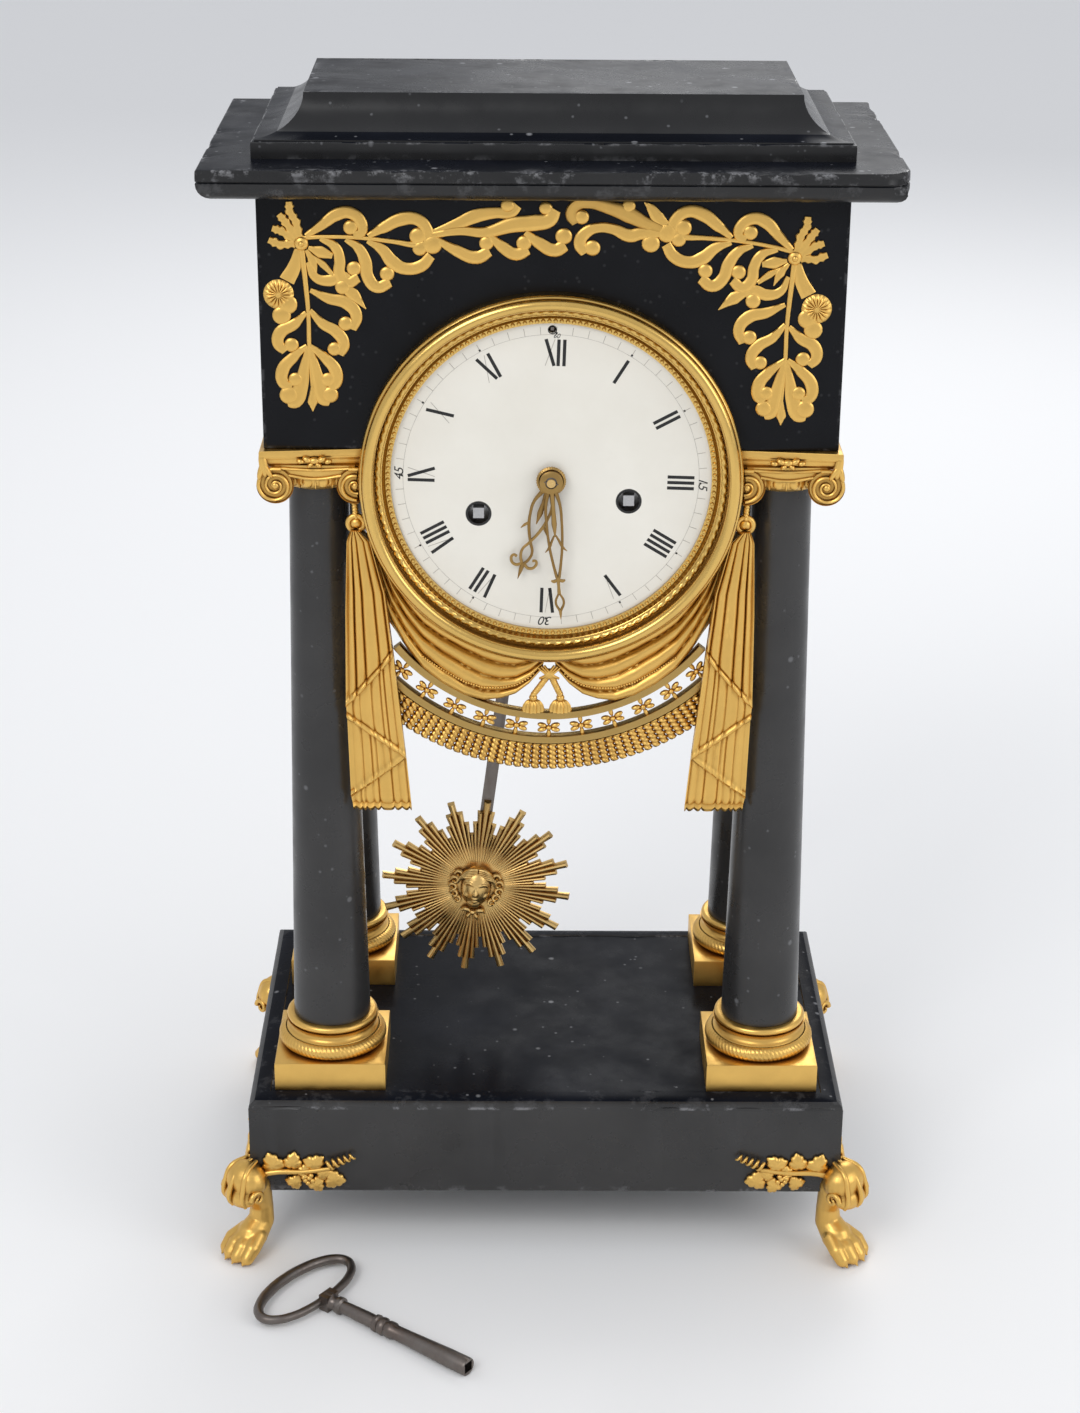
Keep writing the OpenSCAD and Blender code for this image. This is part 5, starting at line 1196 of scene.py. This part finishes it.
def add_print_ring(inner_r, outer_r, top, place, steps):
    """A printed ring about a place on the dial."""
    turned(print_bm, [(inner_r, 0.02), (outer_r, 0.02), (outer_r, top), (inner_r, top), (inner_r, 0.02)],
           place, steps)


for hour, letters in enumerate(NUMERALS):
    x = -sum(ADVANCE[c] for c in letters) / 2
    low, high = NUMERAL_R
    turn = 30 * hour
    for c in letters:
        mid = x + ADVANCE[c] / 2
        if c == "I":
            print_bar(print_bm, mid, low, mid, high, STROKE_W, turn, 0)
        elif c == "V":
            print_bar(print_bm, mid - V_HALF, high, mid, low, STROKE_W, turn, 0)
            print_bar(print_bm, mid + V_HALF, high, mid, low, HAIRLINE, turn, 1)
        else:
            print_bar(print_bm, mid - X_HALF, high, mid + X_HALF, low, STROKE_W, turn, 0)
            print_bar(print_bm, mid + X_HALF, high, mid - X_HALF, low, HAIRLINE, turn, 1)
        x += ADVANCE[c]
for minute in range(60):
    print_bar(print_bm, 0, TRACK_R[0], 0, TRACK_R[1], 0.2, 6 * minute, 1)
    if minute % 5 == 0:
        print_bar(print_bm, -0.35, TRACK_R[0] + 0.6, 0.35, TRACK_R[0] + 0.6, 0.7, 6 * minute, 0)
before = set(print_bm.verts)
add_print_ring(TRACK_R[0], TRACK_R[0] + 0.12, 0.04, (0, 0, 0), 120)
give_finish(added(print_bm, before), 1)
for x, y in WINDING_AT:
    add_print_ring(3.9, 4.75, 0.06, (x, y, 0), 48)
add_print_ring(1.35, 1.65, 0.05, (0, REGULATOR_Y, 0), 24)
for figure, turn, figure_r, figure_size in QUARTERS:
    words = bpy.data.curves.new("figure", "FONT")
    words.body = figure
    words.size = figure_size
    words.shear = 0.3
    words.align_x = "CENTER"
    words.align_y = "CENTER"
    words.extrude = 0.02
    obj = bpy.data.objects.new("figure", words)
    mesh = bpy.data.meshes.new_from_object(obj)
    before = set(print_bm.verts)
    print_bm.from_mesh(mesh)
    spin = Matrix.Rotation(math.radians(PRINT_TURN - turn), 3, "Z")
    for v in added(print_bm, before):
        v.co = spin @ (v.co + Vector((0, figure_r, 0.03)))
    bpy.data.objects.remove(obj)
    bpy.data.curves.remove(words)
    bpy.data.meshes.remove(mesh)
on_front(print_bm.verts, DIAL_F)
add_piece(print_bm, "dial_print", (ink, worn_ink), "case")


# Hands: sawn, pierced and gilt, with turned collets. The hour hand sits on its pipe,
# the minute hand on a square in front of it, under a dark pinned collet.
HOUR_F = -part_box("hour_hand")[1].y / MM
MINUTE_F = -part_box("minute_hand")[1].y / MM
MINUTE_ANGLE = 175.6
HOUR_ANGLE = 197.6
HAND_T = 0.8
HAND_STEP = 0.015
COLLET_NOTCHES = 36


def metal_finish(name, colour, dark, smooth, rough, stretch, rust=0.3):
    """Worked metal with fine drawn-out scratches and dull patches."""
    material = new_material(name)
    dull = ramp(material, noise_at(material, 60, 7, 0.7), 0.4, 0.75)
    tone = mix(material, maths(material, "MULTIPLY", dull, rust), colour, dark)
    scratches = noise_at(material, 400, 3, 0.6, stretch)
    gloss = ramp(material, scratches, 0.3, 0.7, ((smooth, smooth, smooth, 1), (rough, rough, rough, 1)))
    set_surface(material, tone, gloss, scratches, 0.12, 0.08)
    shader_of(material).inputs["Metallic"].default_value = 1
    return material


hand_gilt = gilt_finish("browned_gilt", (0.40, 0.25, 0.085, 1), (0.16, 0.085, 0.025, 1), 0.28, 0.42)
steel = metal_finish("dark_steel", (0.19, 0.17, 0.155, 1), (0.10, 0.06, 0.045, 1), 0.28, 0.55,
                     (1, 1, 0.08), 0.6)


def both_sides(points):
    return [points, [(-x, y, z, r) for x, y, z, r in points]]


def hand_piece(bm, angle, f, name, body, node):
    """Turns a hand drawn flat along +y clockwise and stands it on the dial."""
    turn = Matrix.Rotation(math.radians(-angle), 3, "Z")
    for v in bm.verts:
        v.co = turn @ v.co
    on_front(bm.verts, f)
    add_piece(bm, name, (hand_gilt, steel), body, [node], 50)


def flat_strokes(bm, strokes):
    for i, points in enumerate(strokes):
        top = HAND_T - HAND_STEP * (i % 7)
        for v in add_strokes(bm, [[(x, y, 0, r) for x, y, r in points]], 2, 6):
            v.co.z = max(0.05, min(top, HAND_T / 2 + 0.8 * v.co.z))


def mirrored_strokes(strokes):
    return [s for points in strokes for s in (points, [(-x, y, r) for x, y, r in points])]


minute = bmesh.new()
flat_strokes(minute, mirrored_strokes([
    [(1.3, 3.4, 0.8), (2.6, 9, 0.55), (2.8, 15, 0.5), (2.4, 24, 0.5), (1.5, 31, 0.5), (0.4, 37, 0.6)],
    [(0.3, 20.5, 0.35), (1.2, 22.3, 0.45), (2.4, 25, 0.55), (4, 26.8, 0.15)],
    [(0.2, 37.6, 0.5), (1.5, 38.3, 0.75), (2.6, 38, 0.35)],
    [(0.1, 43, 0.4), (1.5, 46.6, 0.45), (0.2, 50, 0.5)]]) + [
    [(0, 3.4, 1), (0, 10, 0.75), (0, 16, 1), (0, 21, 0.25)],
    [(0, 36.8, 0.8), (0, 40.5, 0.55), (0, 43.2, 0.7)],
    [(0, 49.4, 0.75), (0, 51.4, 0.5), (0, 53.5, 0.1)]])
turned(minute, [(2.1, 0), (3.7, 0), (4.3, 0.4), (4.3, 0.9), (3.4, 1.3), (2.2, 1.4), (2.1, 0)],
       (0, 0, 0), 48)
before = set(minute.verts)
turned(minute, [(0, 1.5), (0.7, 1.5), (0.9, 1.2), (2.1, 1), (2.1, 0.2), (0, 0.2)], (0, 0, 0), 32)
add_limb(minute, (-2.3, 0.6, 1.3), (2.3, -0.6, 1.3), 0.32, 0.28, 8)
give_finish(added(minute, before), 1)
hand_piece(minute, MINUTE_ANGLE, MINUTE_F, "minute_hand_pierced", "minute_work", "minute_hand")

hour = bmesh.new()
flat_strokes(hour, mirrored_strokes([
    [(1.6, 4.4, 0.9), (3.5, 9.5, 0.6), (3.4, 14, 0.55), (2.2, 19.5, 0.6), (-0.3, 25.2, 0.55),
     (-1.9, 28.4, 0.5), (-1.5, 31.6, 0.55), (0, 34, 0.6)],
    [(2.7, 17.6, 0.5), (4, 19, 0.55), (5, 20.6, 0.15)],
    [(0.4, 33.6, 0.6), (2.6, 34.8, 0.6), (4.6, 33.4, 0.55), (4.3, 31.3, 0.5), (3, 31.6, 0.55)]]) + [
    [(0, 4.4, 1), (0, 9, 0.8), (0, 13, 1.1), (0, 17.5, 0.2)],
    [(0, 33.2, 0.9), (0, 36, 0.8), (0, 40, 0.1)]])
collet = turned(hour, [(4, 0), (5.2, 0), (5.5, 0.4), (5.5, 1), (4.6, 1.4), (4.2, 1.2), (4, 0)],
                (0, 0, 0), 4 * COLLET_NOTCHES)
for v in collet:
    milled = 1 - 0.02 * (1 + math.cos(COLLET_NOTCHES * math.atan2(v.co.y, v.co.x)))
    if math.hypot(v.co.x, v.co.y) > 5:
        v.co = Vector((v.co.x * milled, v.co.y * milled, v.co.z))
hand_piece(hour, HOUR_ANGLE, HOUR_F, "hour_hand_pierced", "hour_work", "hour_hand")


# Pendulum: a flat dark steel rod on a pin, with a gilt bob cast as a sunburst of stepped,
# half-round rays about a calm mask with waved hair and a small bow under its chin.
BOB_AT = Vector((-28.8, 0, 128.8))
PIVOT_Z = 353.47
BOB_F = -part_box("sunburst_bob")[1].y / MM
RAY_GROUPS = 16
RAYS = ((0, 38.9, 2.15), (4.1, 34, 1.95), (-4.1, 34, 1.95), (7.85, 29, 1.8), (-7.85, 29, 1.8),
        (11.25, 24, 1.6))
RAY_START = 8
RAY_SECTION = ((-1, 0), (-1, 0.58), (-0.55, 0.9), (0, 1), (0.55, 0.9), (1, 0.58), (1, 0))
SIDE_CURLS = ((7.6, 5.4), (9, 2.6), (9.4, -0.6), (8.6, -3.6), (7, -6))
dull_gilt = gilt_finish("dull_gilt", (0.82, 0.55, 0.21, 1), (0.46, 0.27, 0.09, 1), 0.28, 0.45)
bob = bmesh.new()


def add_ray(bm, angle, reach, half_angle):
    """A half-round ray that widens and rises outwards from the middle of the bob."""
    before = set(bm.verts)
    section = bm.faces.new([bm.verts.new((RAY_START, y, z)) for y, z in RAY_SECTION])
    far = bmesh.ops.extrude_face_region(bm, geom=[section], use_keep_orig=True)["geom"]
    for v in far:
        if isinstance(v, bmesh.types.BMVert):
            v.co.x = reach - 0.7 * v.co.z
    spin = Matrix.Rotation(math.radians(angle), 3, "Z")
    for v in added(bm, before):
        v.co = spin @ Vector((v.co.x, v.co.y * v.co.x * math.tan(math.radians(half_angle)),
                              v.co.z * (1.1 + 0.03 * v.co.x)))


def curl(x, y, side):
    """A small spiral lock of hair."""
    return [(side * (x + (1.7 - 0.2 * i) * math.cos(1.1 * i)), y + (1.7 - 0.2 * i) * math.sin(1.1 * i),
             2.6 + 0.25 * i, 0.85 - 0.06 * i) for i in range(7)]


add_ball(bob, (0, 0.4, 2.4), (6.4, 8.6, 5.2), 24, 16)
add_ball(bob, (0, -5.4, 4.4), (3.2, 2.9, 2.6), 16, 10)
add_limb(bob, (0, 2.6, 6.5), (0, -0.9, 7.7), 0.75, 1.05, 10)
add_strokes(bob, both_sides([(0.7, 2.6, 7, 0.65), (2.6, 3.4, 6.7, 0.6), (4.8, 2.6, 5.5, 0.5)]))
for side in (-1, 1):
    add_ball(bob, (side * 2.6, 1.5, 6), (1.25, 0.7, 0.9), 10, 8)
    add_ball(bob, (side * 3.3, -1.8, 5.2), (2, 2.1, 1.5), 12, 8)
add_strokes(bob, [[(-1.9, -3.4, 6.3, 0.35), (0, -3.2, 7, 0.55), (1.9, -3.4, 6.3, 0.35)],
                  [(-1.5, -4.2, 6.2, 0.35), (0, -4.5, 6.8, 0.6), (1.5, -4.2, 6.2, 0.35)]])
fuse(bob, 0.28)
for side in (-1, 1):
    locks = [curl(x, y, side) for x, y in SIDE_CURLS]
    for i in range(5):
        lift = 9.2 - 0.8 * i
        locks.append([(side * 0.3, lift, 4.9, 0.7),
                      (side * (2.6 + 0.4 * i), lift - 0.1 - 0.12 * i, 5.2 - 0.1 * i, 0.9),
                      (side * (4.6 + 0.5 * i), lift - 1.6, 4.6 - 0.15 * i, 0.95),
                      (side * (6.2 + 0.45 * i), lift - 4, 3.4, 0.85)])
    loop = [(side * 0.8, -11.2, 2.8, 0.7), (side * 3, -10, 3, 1.25), (side * 5.2, -11.4, 2.6, 0.3)]
    ribbon = [(side * 0.5, -11.6, 2.8, 0.6), (side * 1.7, -13.4, 2.6, 0.9), (side * 2.6, -15, 2.4, 0.2)]
    add_strokes(bob, locks + [loop, ribbon], 2, 5)
add_ball(bob, (0, -11.2, 3), (1.3, 1.2, 1.3), 12, 8)
turned(bob, [(0, 0.08), (21.5, 0.08), (21.5, 0.8), (11, 1.4), (0, 1.4)], (0, 0, 0), 64)
for group in range(RAY_GROUPS):
    for offset, reach, half_angle in RAYS:
        add_ray(bob, 90 + 360 / RAY_GROUPS * group + offset, reach, half_angle)
lean = math.atan2(-BOB_AT.x, PIVOT_Z - BOB_AT.z)
tilt = Matrix.Rotation(-lean, 3, "Z")
for v in bob.verts:
    v.co = tilt @ v.co
    v.co = Vector((BOB_AT.x + v.co.x, -BOB_F - v.co.z, BOB_AT.z + v.co.y))
add_piece(bob, "sunburst", dull_gilt, "pendulum", ["sunburst_bob"], 35)


# Winding key: forged dark steel, an oval bow of tapering wire, three turned rings
# and a barrelled shaft with a square socket. It lies loose in front of the clock.
KEY_AT = (-85, -114)
KEY_TURN = math.radians(-37.5)
KEY_R = 3.6
KEY_L = 70
SOCKET_HALF = 2.1
SOCKET_L = 13
BOW_POINTS = 16
KEY_PROFILE = (
    (0, -2.4), (3.2, -2.2), (3.5, -1), (3.5, 2), (2.7, 2.8), (2.5, 4.4), (3.4, 5), (3.5, 6), (3.4, 7),
    (2.5, 7.6), (2.7, 14), (2.8, 22), (2.6, 23.6), (3.4, 24.2), (3.5, 25.4), (2.7, 26.2), (3.5, 27.2),
    (3.55, 28.6), (2.8, 29.6), (3.4, 31), (3.4, 33), (2.8, 34.2), (3, 42), (3.3, 52), (3.55, 60),
    (3.6, KEY_L - 0.8), (3.4, KEY_L), (2.2, KEY_L), (2.1, KEY_L - SOCKET_L), (0, KEY_L - SOCKET_L))
key = bmesh.new()
oval = []
for i in range(BOW_POINTS):
    angle = 2 * math.pi * i / BOW_POINTS
    near = math.cos(angle) ** 8 if math.cos(angle) > 0 else 0
    oval.append((-12.15 + 11 * math.cos(angle) - 0.6 * near, 24.5 * math.sin(angle), 0,
                 1.9 - 0.25 * math.cos(angle)))
add_strokes(key, [oval], 3, 5, True)
shaft = turned(key, KEY_PROFILE, (0, 0, 0), 64)
for v in shaft:
    reach = math.hypot(v.co.x, v.co.y)
    if v.co.z > KEY_L - SOCKET_L - 0.5 and 1 < reach < 2.5:
        square = SOCKET_HALF / max(abs(v.co.x), abs(v.co.y))
        v.co = Vector((v.co.x * square, v.co.y * square, v.co.z))
for v in shaft:
    v.co = Vector((v.co.z, v.co.x, v.co.y))
add_box(key, (0, 0, 0), (2.2, 3.3, 3.3))
lay = Matrix.Rotation(KEY_TURN, 3, "Z")
for v in key.verts:
    v.co = lay @ v.co + Vector((KEY_AT[0], KEY_AT[1], KEY_R))
add_piece(key, "key", steel, "key", ["winding_key"], 40)


# Drum and movement: blacked sheet drum, brass plates, wheels and bell, steel arbors and rods.
# These keep the shapes of the working model and only take their finishes.
def enamel_finish():
    material = new_material("white_enamel")
    cream = ramp(material, noise_at(material, 24, 5), 0.3, 0.75,
                 ((0.74, 0.71, 0.63, 1), (0.80, 0.775, 0.70, 1)))
    smudge = ramp(material, noise_at(material, 75, 8, 0.75), 0.66, 0.8)
    colour = mix(material, maths(material, "MULTIPLY", smudge, 0.22), cream, (0.40, 0.37, 0.31, 1))
    set_surface(material, colour, 0.16, noise_at(material, 90, 2), 0.05, 0.2)
    return material


brass = metal_finish("clock_brass", (0.74, 0.50, 0.20, 1), (0.34, 0.22, 0.09, 1), 0.2, 0.42, (1, 1, 1))
bright_steel = metal_finish("bright_steel", (0.5, 0.5, 0.5, 1), (0.24, 0.22, 0.2, 1), 0.25, 0.45,
                            (1, 0.1, 1))
enamel = enamel_finish()
blacked = paint_finish("blacked_sheet", (0.012, 0.012, 0.012, 1), 0.5)
finishes = {"black_marble": marble, "gilt_bronze": gilt, "clock_brass": brass, "dark_steel": steel,
            "white_enamel": enamel, "blacked_sheet": blacked}
for part in frame["record"]["subparts"]:
    for slot in nodes[part["node"]].material_slots:
        slot.material = finishes[part["material_slot"]]
for name in ("going_arbor", "strike_arbor"):
    for slot in nodes[name].material_slots:
        slot.material = bright_steel
